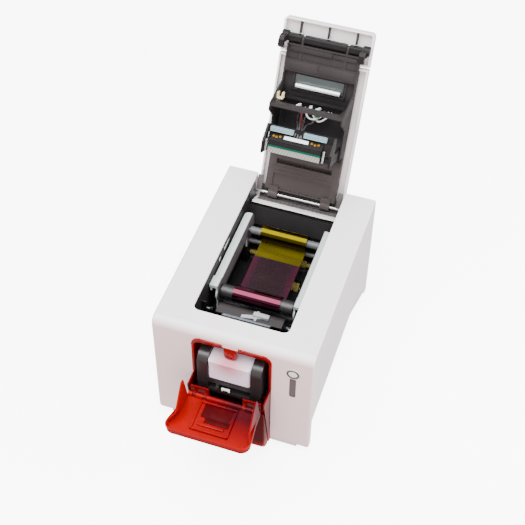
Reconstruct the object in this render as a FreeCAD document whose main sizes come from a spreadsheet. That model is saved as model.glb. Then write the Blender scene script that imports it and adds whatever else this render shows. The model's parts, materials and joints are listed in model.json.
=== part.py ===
import FreeCAD, Part
import os
import re
import Sketcher

# A desktop printer for plastic cards, in millimetres, with its lid and feeder door open. X is across the
# front, Y runs to the back and Z is up. Pieces are drawn about the middle of the cover and then moved
# along Y, so that the origin lies on the floor under the middle of the whole. Lid pieces are drawn with
# the lid closed and then swung open about the hinge rod.

# The driving sizes, piece by piece
SIZES = {
    # The white cover, with its rounded edges and the hollow in each lower side
    "cover_width": 205,
    "cover_depth": 280,
    "cover_height": 191,
    "cover_wall": 2.5,
    "front_edge_round": 11,
    "side_edge_round": 2.5,
    "lower_corner_round": 13,
    "scoop_inset": 14,
    "scoop_front": 8,
    "scoop_front_height": 60,
    "scoop_rear": 214,
    "scoop_rear_height": 67,
    "scoop_end": 275,
    "scoop_end_height": 22,
    "scoop_end_inset": 4.3,
    # The opening in the top
    "opening_width": 122,
    "opening_setback": 31,
    "opening_round": 8,
    # Clearances and the overrun that every cut shares
    "overrun": 1,
    "fit_gap": 0.3,
    "seat_gap": 0.5,
    "bearing_gap": 0.05,
    "working_gap": 1,
    # Feet, tray and screws
    "foot_height": 4,
    "foot_radius": 9,
    "foot_chamfer": 1,
    "foot_side": 68,
    "foot_end": 115,
    "tray_floor": 3,
    "tray_lip": 9,
    "tray_lip_wall": 2.5,
    "tray_vent_length": 60,
    "tray_vent_width": 4,
    "tray_vent_pitch": 9,
    "tray_vent_count": 7,
    "tray_vent_rear": 60,
    "screw_radius": 1.5,
    "screw_head_radius": 3,
    "screw_head_height": 1.6,
    "screw_length": 8,
    "screw_end": 95,
    # Steel side frames
    "frame_thickness": 1.5,
    "frame_inner": 64,
    "frame_front": -106,
    "frame_height": 136,
    "frame_flange": 12,
    "frame_ear_width": 28,
    "frame_ear_round": 8,
    # Bay liner
    "liner_wall": 2,
    "liner_inner": 61.3,
    "liner_foot": 84,
    "liner_rear_low": 91,
    "liner_rear_high": 104,
    "liner_knee_z": 148,
    "liner_lip_z": 167,
    "liner_lip": 0.5,
    # Hinge of the lid
    "hinge_setback": 12,
    "hinge_drop": 21,
    "lid_open_angle": 115.5,
    "rod_radius": 2,
    "rod_overhang": 2,
    "sweep_radius": 22,
    "trough_wall": 2,
    # Lid cover and release flap
    "lid_side_gap": 1.7,
    "lid_front_gap": 1,
    "lid_wall": 2.5,
    "lid_rim": 12,
    "lid_rear_round": 10,
    "lid_flange_drop": 16,
    "flap_length": 44,
    "flap_gap": 3,
    "flap_round": 5,
    "flap_rib": 1.5,
    "flap_rib_side": 37,
    "flap_rib_length": 22,
    "flap_rib_depth": 7,
    "lid_edge_round": 1.5,
    # Latch bar with a hook at each end
    "latch_pivot_setback": 24,
    "latch_pivot_drop": 16,
    "latch_pin_radius": 2.5,
    "latch_arm_side": 28,
    "latch_arm_width": 3,
    "latch_eye": 4,
    "latch_foot_side": 18,
    "foot_width": 10,
    "bar_half_length": 50,
    "bar_depth": 10,
    "bar_height": 11,
    "bar_round": 3,
    "hook_thickness": 6,
    "hook_drop": 27,
    "hook_nose": 7,
    "hook_width": 8,
    "hook_tip_height": 6,
    "catch_y": -76.5,
    "catch_lift": 2.5,
    "catch_radius": 2,
    "catch_inner": 51,
    "catch_strip": 0.8,
    "catch_length": 14,
    "catch_leaf_width": 6,
    # Black frame inside the lid
    "inner_half_width": 48.5,
    "inner_wall": 2,
    "inner_low_z": 173,
    "inner_panel": 2,
    "inner_panel_drop": 10.5,
    "dip_front": -28,
    "dip_start": -9,
    "dip_end": 1,
    "dip_rear": 15,
    "dip_rear_far": 54,
    "dip_z": 126,
    "dip_rear_z": 152,
    "beam_depth": 4,
    "beam_height": 14,
    "well_front": -8,
    "well_rear": 64,
    "step_length": 16,
    "nose_gap": 1.5,
    "nose_lift": 3.5,
    "slot_length": 7,
    "slot_front": 77,
    "slot_half": 38,
    "recess_gap": 14,
    "recess_depth": 2.5,
    "knuckle_width": 13,
    "knuckle_radius": 5.5,
    "knuckle_side": 36.5,
    "well_rise": 6,
    "window_margin": 6,
    "boss_side": 40,
    # Guide plate, guide bar and wire clip
    "plate_half_width": 32,
    "plate_front": -38,
    "plate_rear": -22,
    "plate_thickness": 1,
    "guide_bar_radius": 2.5,
    "guide_bar_half_length": 30,
    "guide_bar_drop": 6,
    "guide_foot": 2.5,
    "clip_z": 150,
    "clip_size": 8,
    "clip_wall": 1.6,
    # Thermal print head
    "path_z": 104,
    "print_y": 42,
    "head_gap": 0.8,
    "head_half_width": 34,
    "head_offset": -2.5,
    "ceramic_depth": 7,
    "ceramic_thickness": 1.5,
    "board_depth": 7,
    "board_thickness": 1.2,
    "head_block_height": 12,
    "head_block_front": 24,
    "head_block_rear": 48,
    "bead_height": 0.3,
    "bridge_depth": 6,
    "bridge_lift": 3,
    "wing_overlap": 3,
    "wing_thickness": 2,
    "wing_rise": 6,
    "arm_toe": 4,
    "arm_half_span": 46,
    "arm_thickness": 3,
    "arm_pivot_y": 46,
    "arm_pivot_z": 164,
    "arm_width": 13,
    "arm_pin_radius": 2.5,
    "sink_width": 30,
    "sink_gap": 14,
    "sink_front": 17,
    "sink_thickness": 6,
    "sink_base": 1.5,
    "sink_length": 5.5,
    "sink_fin": 1.2,
    "sink_pitch": 2.1,
    "sink_fins": 3,
    # Ribbon cartridge
    "rail_outer": 59.5,
    "rail_inner": 49.5,
    "rail_top": 174,
    "rail_flange": 2.5,
    "rail_wall": 2.5,
    "rail_front": -52,
    "rail_rear": 89,
    "rail_depth": 24,
    "rail_leg": 42,
    "rail_leg_width": 16,
    "rail_step": 2,
    "rail_round": 10,
    "rail_lip": 2,
    "rail_lip_depth": 8,
    "spool_z": 159,
    "supply_y": 69,
    "takeup_y": -42,
    "ear_radius": 13,
    "tie_radius": 3,
    "tie_back": 4,
    "tie_drop": 16,
    "core_radius": 5,
    "dark_core_radius": 9,
    "core_half_length": 47,
    "stub_radius": 3,
    "roll_radius": 11,
    "film_half_width": 31,
    "film_thickness": 0.4,
    "film_lift": 0.3,
    # Rollers of the card path
    "platen_radius": 8,
    "roller_half_length": 30,
    "shaft_radius": 3,
    "bush_wall": 2,
    "bush_thickness": 4,
    "feed_radius": 6,
    "front_feed_y": -22,
    "rear_feed_y": 74,
    "card_thickness": 0.76,
    "pinch_radius": 5,
    "pick_radius": 6,
    "pick_y": -92,
    "pick_half_length": 8,
    "cleaner_radius": 6,
    "cleaner_y": -48,
    "cleaner_z": 124.5,
    "pulley_width": 7,
    "pulley_rim": 1.2,
    "pulley_rim_width": 1,
    "belt_thickness": 1.2,
    "belt_gap": 0.3,
    "belt_side_gap": 0.5,
    "bed_thickness": 3,
    "bed_drop": 3.5,
    "bed_skirt": 10,
    "bed_front": -127,
    "bed_rear": 89,
    "bed_rib": 1.5,
    "bed_rib_side": 12,
    "bed_slot_gap": 1.2,
    "ramp_front": -62,
    "ramp_rear": -30,
    "ramp_high": 124,
    "ramp_low": 108,
    "ramp_thickness": 2,
    # Motors
    "motor_size": 35,
    "motor_length": 24,
    "motor_round": 3,
    "motor_boss_radius": 11,
    "motor_boss_height": 2,
    "motor_shaft_radius": 2.5,
    "motor_y": -4,
    "motor_z": 54,
    "ribbon_motor_y": -78,
    "ribbon_motor_z": 60,
    # Card feeder
    "card_length": 85.6,
    "card_width": 54,
    "card_corner": 3.2,
    "stack_height": 32,
    "stack_z": 125,
    "feeder_front": -151.5,
    "column_width": 13.5,
    "column_depth": 24,
    "column_top": 162,
    "column_round": 13,
    "magazine_wall": 2,
    "magazine_gap": 0.6,
    "crossbar_z": 116,
    "crossbar_depth": 8,
    "bar_slot_width": 30,
    "bar_slot_low": 5,
    "bar_slot_depth": 1.5,
    "cheek_low_z": 150,
    "sill_z": 97.5,
    "sill_height": 5.5,
    "gauge_x": -15,
    "gauge_width": 4,
    "gauge_height": 9,
    "gauge_depth": 7,
    "gauge_travel": 3,
    "gauge_grip": 2,
    "gauge_tongue": 2.5,
    "gauge_tongue_depth": 3,
    "roof_z": 160,
    "roof_thickness": 2,
    "roof_half_width": 43,
    "comb_half_width": 31,
    "comb_front": -88,
    "comb_rear": -79.5,
    "comb_rise": 9,
    "comb_ribs": 15,
    "comb_rib": 1.4,
    "hood_wall": 1.8,
    "hood_round": 10.5,
    "hood_rear": -58,
    "hood_low": 128,
    "guide_clip_x": 7,
    "guide_clip_length": 34,
    "guide_clip_y": -73,
    "blade_width": 6,
    "blade_thickness": 1,
    "bracket_height": 3.5,
    # Red front module
    "window_top": 177.5,
    "window_round": 10.5,
    "module_width": 100,
    "surround_gap": 0.5,
    "surround_wall": 1.6,
    "surround_depth": 24,
    "surround_proud": 1,
    "surround_flange": 5,
    "tab_width": 16,
    "tab_offset": -1.5,
    "tab_length": 19.5,
    "tab_slot": 2,
    "tab_boss": 5,
    "tab_boss_height": 0.8,
    "hopper_wall": 2,
    "hopper_top": 116,
    "hopper_rim_y": -164,
    "hopper_neck_y": -162.5,
    "hopper_neck_z": 104,
    "hopper_lift": 1,
    "hopper_ear_near": 23,
    "hopper_ear_far": 37,
    "hopper_waist_y": -156,
    "hopper_waist_z": 70,
    "hopper_low_y": -149,
    "hopper_low_z": 36,
    "hopper_foot_y": -144,
    "hopper_foot_z": 10,
    "hopper_back_top": 97,
    "hopper_notch_width": 44,
    "hopper_notch_depth": 34,
    "hopper_notch_round": 12,
    # Feeder door, drawn open
    "door_pivot_y": -168.5,
    "door_pivot_z": 106,
    "door_length": 62,
    "door_near_gap": 3.5,
    "door_wall_inset": 2.4,
    "door_wall": 1.8,
    "door_flange_top": 6,
    "door_flange_round": 4,
    "door_panel_x": -3.5,
    "door_panel_round": 4,
    "door_panel_skin": 1,
    "door_thickness": 2,
    "door_drop": 3,
    "door_flange_height": 50,
    "door_flange_back": 12,
    "door_end_height": 11,
    "door_corner_round": 9,
    "door_panel_width": 46,
    "door_panel_front": 9,
    "door_panel_length": 45,
    "door_panel_rib": 1.5,
    "door_panel_rise": 2.5,
    "door_barrel_radius": 2.8,
    "door_ear_width": 4,
    "door_pin_radius": 1.2,
    # Controls on the front
    "button_x": 77.6,
    "button_z": 163,
    "button_radius": 8,
    "button_travel": 1.2,
    "button_proud": 0.8,
    "button_length": 6,
    "button_rim": 1,
    "status_board_width": 20,
    "status_board_margin": 6,
    "status_width": 7.8,
    "status_low": 115.5,
    "status_high": 152,
    "status_flange": 1,
    "small_board": 1.6,
    # Rear panel, its sockets and the boards
    "panel_thickness": 2.5,
    "notch_z": 151,
    "board_width": 120,
    "board_length": 118,
    "board_z": 18,
    "post_radius": 3,
    "chip_size": 14,
    "chip_height": 1.6,
    "tin_radius": 4,
    "tin_height": 11,
    "socket_wall": 1,
    "socket_gap": 0.4,
    "usb_x": 20,
    "usb_width": 12,
    "usb_height": 11,
    "usb_depth": 16,
    "net_x": 45,
    "net_width": 16,
    "net_height": 13.5,
    "net_depth": 20,
    "inlet_x": -40,
    "inlet_radius": 7,
    "inlet_bore": 5,
    "inlet_pin_radius": 1,
    "inlet_depth": 14,
    "inlet_z": 30,
    "switch_x": -76,
    "switch_width": 13,
    "switch_height": 19,
    "switch_depth": 12,
    "rocker_width": 10,
    "rocker_height": 15,
    "rocker_peak": 1.2,
    "rocker_gap": 0.8,
    "rocker_depth": 7,
    "rocker_tip": 2,
    "rocker_drop": 1,
    "rocker_axis": 3,
    "rocker_pin_radius": 1,
    "lock_x": 72,
    "lock_width": 7,
    "lock_height": 3,
    "rear_vent_width": 3,
    "rear_vent_height": 26,
    "rear_vent_pitch": 7,
    "rear_vent_count": 9,
    "rear_vent_z": 95,
}

# Places worked out from the sizes
PLACES = {
    "half_width": "cover_width / 2",
    "front_y": "-cover_depth / 2",
    "rear_y": "cover_depth / 2",
    "base_z": "foot_height",
    "top_z": "foot_height + cover_height",
    "half_opening": "opening_width / 2",
    "opening_y": "front_y + opening_setback",
    "low_half": "half_width - scoop_inset - cover_wall",
    "high_half": "half_width - cover_wall",
    "under_top": "top_z - cover_wall",
    "shoulder_z": "base_z + scoop_rear_height + cover_wall",
    "hinge_y": "rear_y - hinge_setback",
    "hinge_z": "top_z - hinge_drop",
    "half_lid": "half_opening - lid_side_gap",
    "lid_front_y": "opening_y + lid_front_gap",
    "flap_rear_y": "lid_front_y + flap_length",
    "seam_y": "flap_rear_y + flap_gap",
    "rim_z": "top_z - lid_rim",
    "lid_under": "top_z - lid_wall",
    "latch_y": "lid_front_y + latch_pivot_setback",
    "latch_z": "top_z - latch_pivot_drop",
    "inner_front": "seam_y + lid_wall + fit_gap",
    "panel_z": "lid_under - inner_panel_drop",
    "platen_z": "path_z - platen_radius",
    "feed_z": "path_z - feed_radius",
    "pinch_z": "path_z + card_thickness + fit_gap + pinch_radius",
    "bed_top": "path_z - bed_drop",
    "frame_outer": "frame_inner + frame_thickness",
    "pulley_x": "frame_outer + bush_thickness",
    "pick_z": "stack_z - pick_radius - fit_gap",
    "module_half": "module_width / 2",
    "window_half": "module_half + surround_gap",
    "hopper_inner": "module_half - hopper_wall",
    "film_z": "spool_z - roll_radius - film_lift - film_thickness",
    "panel_y": "rear_y - fit_gap",
    "head_rear": "head_block_rear",
    "head_low": "path_z + head_gap",
    "head_face": "head_low + ceramic_thickness",
    "head_top": "head_face + head_block_height",
    "door_wall_outer": "module_half - door_wall_inset",
    "catch_z": "latch_z - hook_drop + hook_tip_height + catch_lift",
    "stack_front": "feeder_front + seat_gap",
    "magazine_end": "stack_front + card_length + magazine_gap",
    "rocker_y": "panel_y - rocker_drop",
    "lid_reach": "hinge_drop * sin(lid_open_angle) - (hinge_y - lid_front_y) * cos(lid_open_angle)",
    "far_end": "hinge_y + lid_reach",
    "near_end": "door_pivot_y - door_length",
    "to_middle": "-(far_end + near_end) / 2",
}

# The document and its sheet of sizes
doc = FreeCAD.newDocument("CardPrinter")
sheet = doc.addObject("Spreadsheet::Sheet", "Sizes")
for row, (alias, size) in enumerate(SIZES.items(), start=1):
    sheet.set(f"A{row}", alias)
    sheet.set(f"B{row}", str(size))
    sheet.setAlias(f"B{row}", alias)
doc.recompute()
pieces = []


def bound(expression):
    """The expression with each place worked out and each size read from the sheet."""
    wider = expression
    while True:
        spread = re.sub(r"[a-z]\w*", lambda m: f"({PLACES[m[0]]})" if m[0] in PLACES else m[0], wider)
        if spread == wider:
            break
        wider = spread
    return re.sub(r"[a-z]\w*", lambda m: f"Sizes.{m[0]}" if m[0] in SIZES else m[0], wider)


def number(expression):
    """The value that an expression has now."""
    return float(sheet.evalExpression(bound(expression)))


def piece(name):
    """A new body for one sub-part."""
    made = doc.addObject("PartDesign::Body", name)
    made.Label = name
    seat(made, "0", "0")
    pieces.append(made)
    return made


def origin_plane(body, role):
    return next(f for f in body.Origin.OriginFeatures if f.Role == role + "_Plane")


def polygon(*points, rounds=None):
    """A closed outline through points, with the radius of each corner that is rounded."""
    return {"points": points, "rounds": rounds or {}}


def rectangle(left, right, low, high, rounds=None):
    """An upright rectangle. Its corners are numbered from the low left, anticlockwise."""
    return polygon((left, low), (right, low), (right, high), (left, high), rounds=rounds)


def disc(across, up, radius):
    return {"centre": (across, up), "radius": radius}


def pin_down(sketch, geometry, point, place):
    """Hold a point of the sketch at the place that two expressions give."""
    for kind, expression in zip(("DistanceX", "DistanceY"), place):
        held = Sketcher.Constraint(kind, -1, 1, geometry, point, number(expression))
        sketch.setExpression(f"Constraints[{sketch.addConstraint(held)}]", bound(expression))


def draw_polygon(sketch, points, rounds):
    first = sketch.GeometryCount
    places = [FreeCAD.Vector(number(across), number(up), 0) for across, up in points]
    count = len(places)
    for i in range(count):
        sketch.addGeometry(Part.LineSegment(places[i], places[(i + 1) % count]), False)
    for i in range(count):
        meet = Sketcher.Constraint("Coincident", first + i, 2, first + (i + 1) % count, 1)
        sketch.addConstraint(meet)
        pin_down(sketch, first + i, 1, points[i])
    for corner, radius in rounds.items():
        arc = sketch.GeometryCount
        sketch.fillet(first + corner, 1, number(radius), True, True)
        held = Sketcher.Constraint("Radius", arc, number(radius))
        sketch.setExpression(f"Constraints[{sketch.addConstraint(held)}]", bound(radius))


def draw_disc(sketch, centre, radius):
    drawn = sketch.GeometryCount
    middle = FreeCAD.Vector(number(centre[0]), number(centre[1]), 0)
    sketch.addGeometry(Part.Circle(middle, FreeCAD.Vector(0, 0, 1), number(radius)), False)
    pin_down(sketch, drawn, 3, centre)
    held = Sketcher.Constraint("Radius", drawn, number(radius))
    sketch.setExpression(f"Constraints[{sketch.addConstraint(held)}]", bound(radius))


def section(body, plane, place, *shapes):
    """A sketch of shapes on a plane of the body's origin, moved along that plane's axis to a place."""
    sketch = body.newObject("Sketcher::SketchObject", "outline")
    sketch.AttachmentSupport = [(origin_plane(body, plane), "")]
    sketch.MapMode = "FlatFace"
    sign = "-" if plane == "XZ" else ""
    sketch.setExpression("AttachmentOffset.Base.z", bound(f"{sign}({place})"))
    for shape in shapes:
        if "points" in shape:
            draw_polygon(sketch, shape["points"], shape["rounds"])
        else:
            draw_disc(sketch, shape["centre"], shape["radius"])
    return sketch


def pad(body, plane, low, high, *shapes):
    """Add the shapes, stretched from low to high along the plane's axis."""
    start = high if plane == "XZ" else low
    made = body.newObject("PartDesign::Pad", "pad")
    made.Profile = section(body, plane, start, *shapes)
    made.setExpression("Length", bound(f"({high}) - ({low})"))
    body.Tip = made
    return made


def pocket(body, plane, low, high, *shapes):
    """Cut the shapes away, from low to high along the plane's axis."""
    start = low if plane == "XZ" else high
    made = body.newObject("PartDesign::Pocket", "pocket")
    made.Profile = section(body, plane, start, *shapes)
    made.setExpression("Length", bound(f"({high}) - ({low})"))
    body.Tip = made
    return made


def repeat(body, feature, axis, pitch, count):
    """Repeat a feature along an axis of the body, the pitch apart."""
    made = body.newObject("PartDesign::LinearPattern", "row")
    made.Originals = [feature]
    line = next(f for f in body.Origin.OriginFeatures if f.Role == axis + "_Axis")
    made.Direction = (line, [""])
    made.setExpression("Length", bound(f"({pitch}) * ({count} - 1)"))
    made.setExpression("Occurrences", bound(count))
    body.Tip = made
    return made


def mirror(body, *features):
    """Repeat features on the other side of the middle."""
    made = body.newObject("PartDesign::Mirrored", "other_side")
    made.Originals = list(features)
    made.MirrorPlane = (origin_plane(body, "YZ"), [""])
    body.Tip = made
    return made


def lies(edge, x=None, y=None, z=None):
    """Whether the whole edge lies at the given places. X is measured either side of the middle."""
    near = 0.01
    for vertex in edge.Vertexes:
        if x is not None and abs(abs(vertex.X) - number(x)) > near:
            return False
        if y is not None and abs(vertex.Y - number(y)) > near:
            return False
        if z is not None and abs(vertex.Z - number(z)) > near:
            return False
    return True


def chosen(body, test):
    """The names of the edges of the body that pass a test."""
    doc.recompute()
    edges = body.Tip.Shape.Edges
    names = [f"Edge{i}" for i, edge in enumerate(edges, start=1) if test(edge)]
    if not names:
        raise ValueError(f"no edge of {body.Label} is where it was looked for")
    return names


def round_edges(body, radius, test):
    """Round the edges that pass a test."""
    names = chosen(body, test)
    base = body.Tip
    made = body.newObject("PartDesign::Fillet", "rounding")
    made.Base = (base, names)
    made.setExpression("Radius", bound(radius))
    body.Tip = made
    return made


def bevel_edges(body, size, test):
    """Bevel the edges that pass a test."""
    names = chosen(body, test)
    base = body.Tip
    made = body.newObject("PartDesign::Chamfer", "bevel")
    made.Base = (base, names)
    made.setExpression("Size", bound(size))
    body.Tip = made
    return made


def turn(body, steps, bore="0"):
    """Turn a stepped shaft about the body's X axis: each step is (from, to, radius)."""
    points = [(steps[0][0], bore)]
    for start, end, radius in steps:
        points.append((start, radius))
        points.append((end, radius))
    points.append((steps[-1][1], bore))
    made = body.newObject("PartDesign::Revolution", "turned")
    sketch = section(body, "XZ", "0", polygon(*points))
    made.Profile = sketch
    made.ReferenceAxis = (sketch, ["H_Axis"])
    made.Angle = 360
    body.Tip = made
    return made


def placement(y, z, angle="0", centre_y="0", centre_z="0"):
    """A placement that moves to (y, z) and turns about X round a centre."""
    base = f"create(<<vector>>; 0; {y} + to_middle; {z})"
    rotation = f"create(<<rotation>>; create(<<vector>>; 1; 0; 0); {angle})"
    centre = f"create(<<vector>>; 0; {centre_y}; {centre_z})"
    return bound(f"create(<<placement>>; {base}; {rotation}; {centre})")


def seat(body, y, z):
    """Move a turned piece so that its axis runs through (y, z)."""
    body.setExpression("Placement", placement(y, z))


def open_lid(body, y="0", z="0"):
    """Swing a piece of the lid open about the hinge, after moving its own origin to (y, z)."""
    swung = placement(y, z, "-lid_open_angle", f"hinge_y - ({y})", f"hinge_z - ({z})")
    body.setExpression("Placement", swung)


def outer_cover():
    """White cover: front, top and both sides in one moulding, open below and behind."""
    cover = piece("outer_cover")
    footprint = rectangle("-half_width", "half_width", "front_y", "rear_y")
    pad(cover, "XY", "base_z", "top_z", footprint)
    round_edges(cover, "front_edge_round", lambda e: lies(e, y="front_y", z="top_z"))
    round_edges(cover, "lower_corner_round", lambda e: lies(e, x="half_width", z="base_z"))
    corner = "base_z + lower_corner_round"
    round_edges(
        cover,
        "side_edge_round",
        lambda e: lies(e, x="half_width") and not lies(e, z=corner) and not lies(e, y="rear_y"),
    )
    stations = [
        ("scoop_front", "scoop_front_height", "scoop_inset"),
        ("scoop_rear", "scoop_rear_height", "scoop_inset"),
        ("scoop_end", "scoop_end_height", "scoop_end_inset"),
    ]
    sections = [
        section(
            cover,
            "XZ",
            f"front_y + {along}",
            polygon(
                ("half_width + overrun", f"base_z + {height}"),
                ("half_width", f"base_z + {height}"),
                (f"half_width - {inset}", "base_z - overrun"),
                ("half_width + overrun", "base_z - overrun"),
            ),
        )
        for along, height, inset in stations
    ]
    scoop = cover.newObject("PartDesign::SubtractiveLoft", "side_hollow")
    scoop.Profile = sections[0]
    scoop.Sections = sections[1:]
    scoop.Ruled = True
    cover.Tip = scoop
    mirror(cover, scoop)
    inner_front = "front_y + cover_wall"
    slope = "front_edge_round - cover_wall"
    for half, floor in (("low_half", "base_z - overrun"), ("high_half", "shoulder_z")):
        hollow = polygon(
            (inner_front, floor),
            ("rear_y + overrun", floor),
            ("rear_y + overrun", "under_top"),
            (f"{inner_front} + {slope}", "under_top"),
            (inner_front, f"under_top - ({slope})"),
        )
        pocket(cover, "YZ", f"-({half})", half, hollow)
    opening = rectangle(
        "-half_opening",
        "half_opening",
        "opening_y",
        "rear_y + overrun",
        rounds={0: "opening_round", 1: "opening_round"},
    )
    pocket(cover, "XY", "under_top - overrun", "top_z + overrun", opening)
    window = rectangle(
        "-window_half",
        "window_half",
        "base_z - overrun",
        "window_top",
        rounds={2: "window_round", 3: "window_round"},
    )
    through = ("front_y - overrun", f"{inner_front} + overrun")
    pocket(cover, "XZ", *through, window)
    pocket(cover, "XZ", *through, disc("button_x", "button_z", "button_radius + fit_gap"))
    pocket(cover, "XZ", *through, status_outline("fit_gap"))


def status_outline(gap):
    """The outline of the status window, larger by a gap all round. Its lower end is rounder."""
    half = f"status_width / 2 + {gap}"
    return rectangle(
        f"button_x - ({half})",
        f"button_x + {half}",
        f"status_low - {gap}",
        f"status_high + {gap}",
        rounds={0: "status_width / 3", 1: "status_width / 3"},
    )


def base_tray():
    """Tray that closes the cover from below, with a lip all round and a row of vents."""
    tray = piece("base_tray")
    half = "low_half - seat_gap"
    front = "front_y + cover_wall + seat_gap"
    rear = "panel_y - panel_thickness - seat_gap"
    pad(tray, "XY", "base_z", "base_z + tray_floor + tray_lip", rectangle(f"-({half})", half, front, rear))
    inside = rectangle(
        f"-({half}) + tray_lip_wall",
        f"{half} - tray_lip_wall",
        f"{front} + tray_lip_wall",
        f"{rear} - tray_lip_wall",
    )
    pocket(tray, "XY", "base_z + tray_floor", "base_z + tray_floor + tray_lip + overrun", inside)
    vent = rectangle(
        "-tray_vent_length / 2",
        "tray_vent_length / 2",
        "-tray_vent_rear",
        "-tray_vent_rear + tray_vent_width",
    )
    cut = pocket(tray, "XY", "base_z - overrun", "base_z + tray_floor + overrun", vent)
    repeat(tray, cut, "Y", "tray_vent_pitch", "tray_vent_count")
    holes = [disc(x, y, "screw_radius + fit_gap") for x, y in screw_places()]
    pocket(tray, "XY", "base_z - overrun", "base_z + tray_floor + overrun", *holes)


def screw_places():
    """Where the four screws pass through the tray into the side frames."""
    side = "frame_inner - frame_flange / 2"
    return [(f"{x}({side})", f"{y}screw_end") for x in ("-", "") for y in ("-", "")]


def base_screws():
    """Four screws that hold the side frames to the tray."""
    screws = piece("base_screws")
    heads = [disc(x, y, "screw_head_radius") for x, y in screw_places()]
    shanks = [disc(x, y, "screw_radius") for x, y in screw_places()]
    pad(screws, "XY", "base_z - screw_head_height", "base_z", *heads)
    pad(screws, "XY", "base_z", "base_z + screw_length", *shanks)


def rubber_feet():
    """Four round rubber feet under the tray."""
    feet = piece("rubber_feet")
    discs = [disc(f"{x}foot_side", f"{y}foot_end", "foot_radius") for x in ("-", "") for y in ("-", "")]
    pad(feet, "XY", "0", "foot_height", *discs)
    bevel_edges(feet, "foot_chamfer", lambda e: lies(e, z="0"))


def shaft_holes(gap):
    """A hole for each roller's shaft, larger than the shaft by a gap."""
    places = [
        ("print_y", "platen_z"),
        ("front_feed_y", "feed_z"),
        ("rear_feed_y", "feed_z"),
        ("front_feed_y", "pinch_z"),
        ("rear_feed_y", "pinch_z"),
        ("pick_y", "pick_z"),
        ("cleaner_y", "cleaner_z"),
    ]
    return [disc(y, z, f"shaft_radius + {gap}") for y, z in places]


def side_frames():
    """Steel plates that carry the rollers and, on their rear ears, the hinge rod."""
    frame = piece("side_frames")
    floor = "base_z + tray_floor"
    rear = "panel_y - panel_thickness - fit_gap"
    foot_rear = "panel_y - panel_thickness - seat_gap - tray_lip_wall - fit_gap"
    step = f"{floor} + tray_lip + fit_gap"
    ear = "frame_ear_width / 2"
    plate = polygon(
        ("frame_front", floor),
        (foot_rear, floor),
        (foot_rear, step),
        (rear, step),
        (rear, "hinge_z + frame_ear_round"),
        (f"hinge_y - {ear}", "hinge_z + frame_ear_round"),
        (f"hinge_y - {ear}", "frame_height"),
        ("frame_front", "frame_height"),
        rounds={5: "frame_ear_round", 7: "frame_ear_round"},
    )
    flange = rectangle("frame_inner - frame_flange", "frame_inner", "frame_front", foot_rear)
    plates = pad(frame, "YZ", "frame_inner", "frame_outer", plate)
    flanges = pad(frame, "XY", floor, f"{floor} + frame_thickness", flange)
    mirror(frame, plates, flanges)
    through = ("-frame_outer - overrun", "frame_outer + overrun")
    rod_hole = disc("hinge_y", "hinge_z", "rod_radius + bearing_gap")
    pocket(frame, "YZ", *through, rod_hole, *shaft_holes("bush_wall + bearing_gap"))
    holes = [disc(x, y, "screw_radius + bearing_gap") for x, y in screw_places()]
    pocket(frame, "XY", f"{floor} - overrun", f"{floor} + frame_thickness + overrun", *holes)
    for side, y, z in ((1, "motor_y", "motor_z"), (-1, "ribbon_motor_y", "ribbon_motor_z")):
        plate_span = ordered(side, "frame_inner - overrun", "frame_outer + overrun")
        pocket(frame, "YZ", *plate_span, disc(y, z, "motor_boss_radius + fit_gap"))


def ordered(side, near, far):
    """A span from near to far of the middle, on one side of it, given from low to high."""
    return (f"-({far})", f"-({near})") if side < 0 else (near, far)


def bushings():
    """Bronze bushings of the roller shafts in both side frames."""
    bushes = piece("bushings")
    outer = "frame_outer + bush_thickness"
    made = pad(bushes, "YZ", "frame_inner", outer, *shaft_holes("bush_wall"))
    mirror(bushes, made)
    pocket(bushes, "YZ", f"-({outer}) - overrun", f"{outer} + overrun", *shaft_holes("bearing_gap"))


def hinge_rod():
    """Steel rod that the lid turns on."""
    rod = piece("hinge_rod")
    end = "frame_outer + rod_overhang"
    turn(rod, [(f"-({end})", end, "rod_radius")])
    seat(rod, "hinge_y", "hinge_z")


def bay_liner():
    """Black liner of the bay under the opening, open below, with a bulkhead that leans to the hinge."""
    liner = piece("bay_liner")
    outer_half = "liner_inner + liner_wall"
    top = "under_top - fit_gap"
    front = "opening_y - liner_lip"
    outer = polygon(
        (f"{front} - liner_wall", "liner_foot"),
        ("liner_rear_low + liner_wall", "liner_foot"),
        ("liner_rear_low + liner_wall", "liner_knee_z"),
        ("liner_rear_high + liner_wall", "liner_lip_z"),
        ("liner_rear_high", top),
        (f"{front} - liner_wall", top),
    )
    pad(liner, "YZ", f"-({outer_half})", outer_half, outer)
    inner = polygon(
        (front, "liner_foot - overrun"),
        ("liner_rear_low", "liner_foot - overrun"),
        ("liner_rear_low", "liner_knee_z"),
        ("liner_rear_high", "liner_lip_z"),
        ("liner_rear_high", f"{top} + overrun"),
        (front, f"{top} + overrun"),
    )
    pocket(liner, "YZ", "-liner_inner", "liner_inner", inner)
    mouth_top = "roof_z + roof_thickness + fit_gap"
    mouth = rectangle("-liner_inner", "liner_inner", "liner_foot - overrun", mouth_top)
    pocket(liner, "XZ", f"{front} - liner_wall - overrun", f"{front} + overrun", mouth)
    lip = rectangle("liner_rear_high - overrun", "hinge_y", "liner_lip_z", f"{top} + overrun")
    pocket(liner, "YZ", f"-({outer_half}) - overrun", f"{outer_half} + overrun", lip)
    across = (f"-({outer_half}) - overrun", f"{outer_half} + overrun")
    pocket(liner, "YZ", *across, *shaft_holes("fit_gap"))


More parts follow.
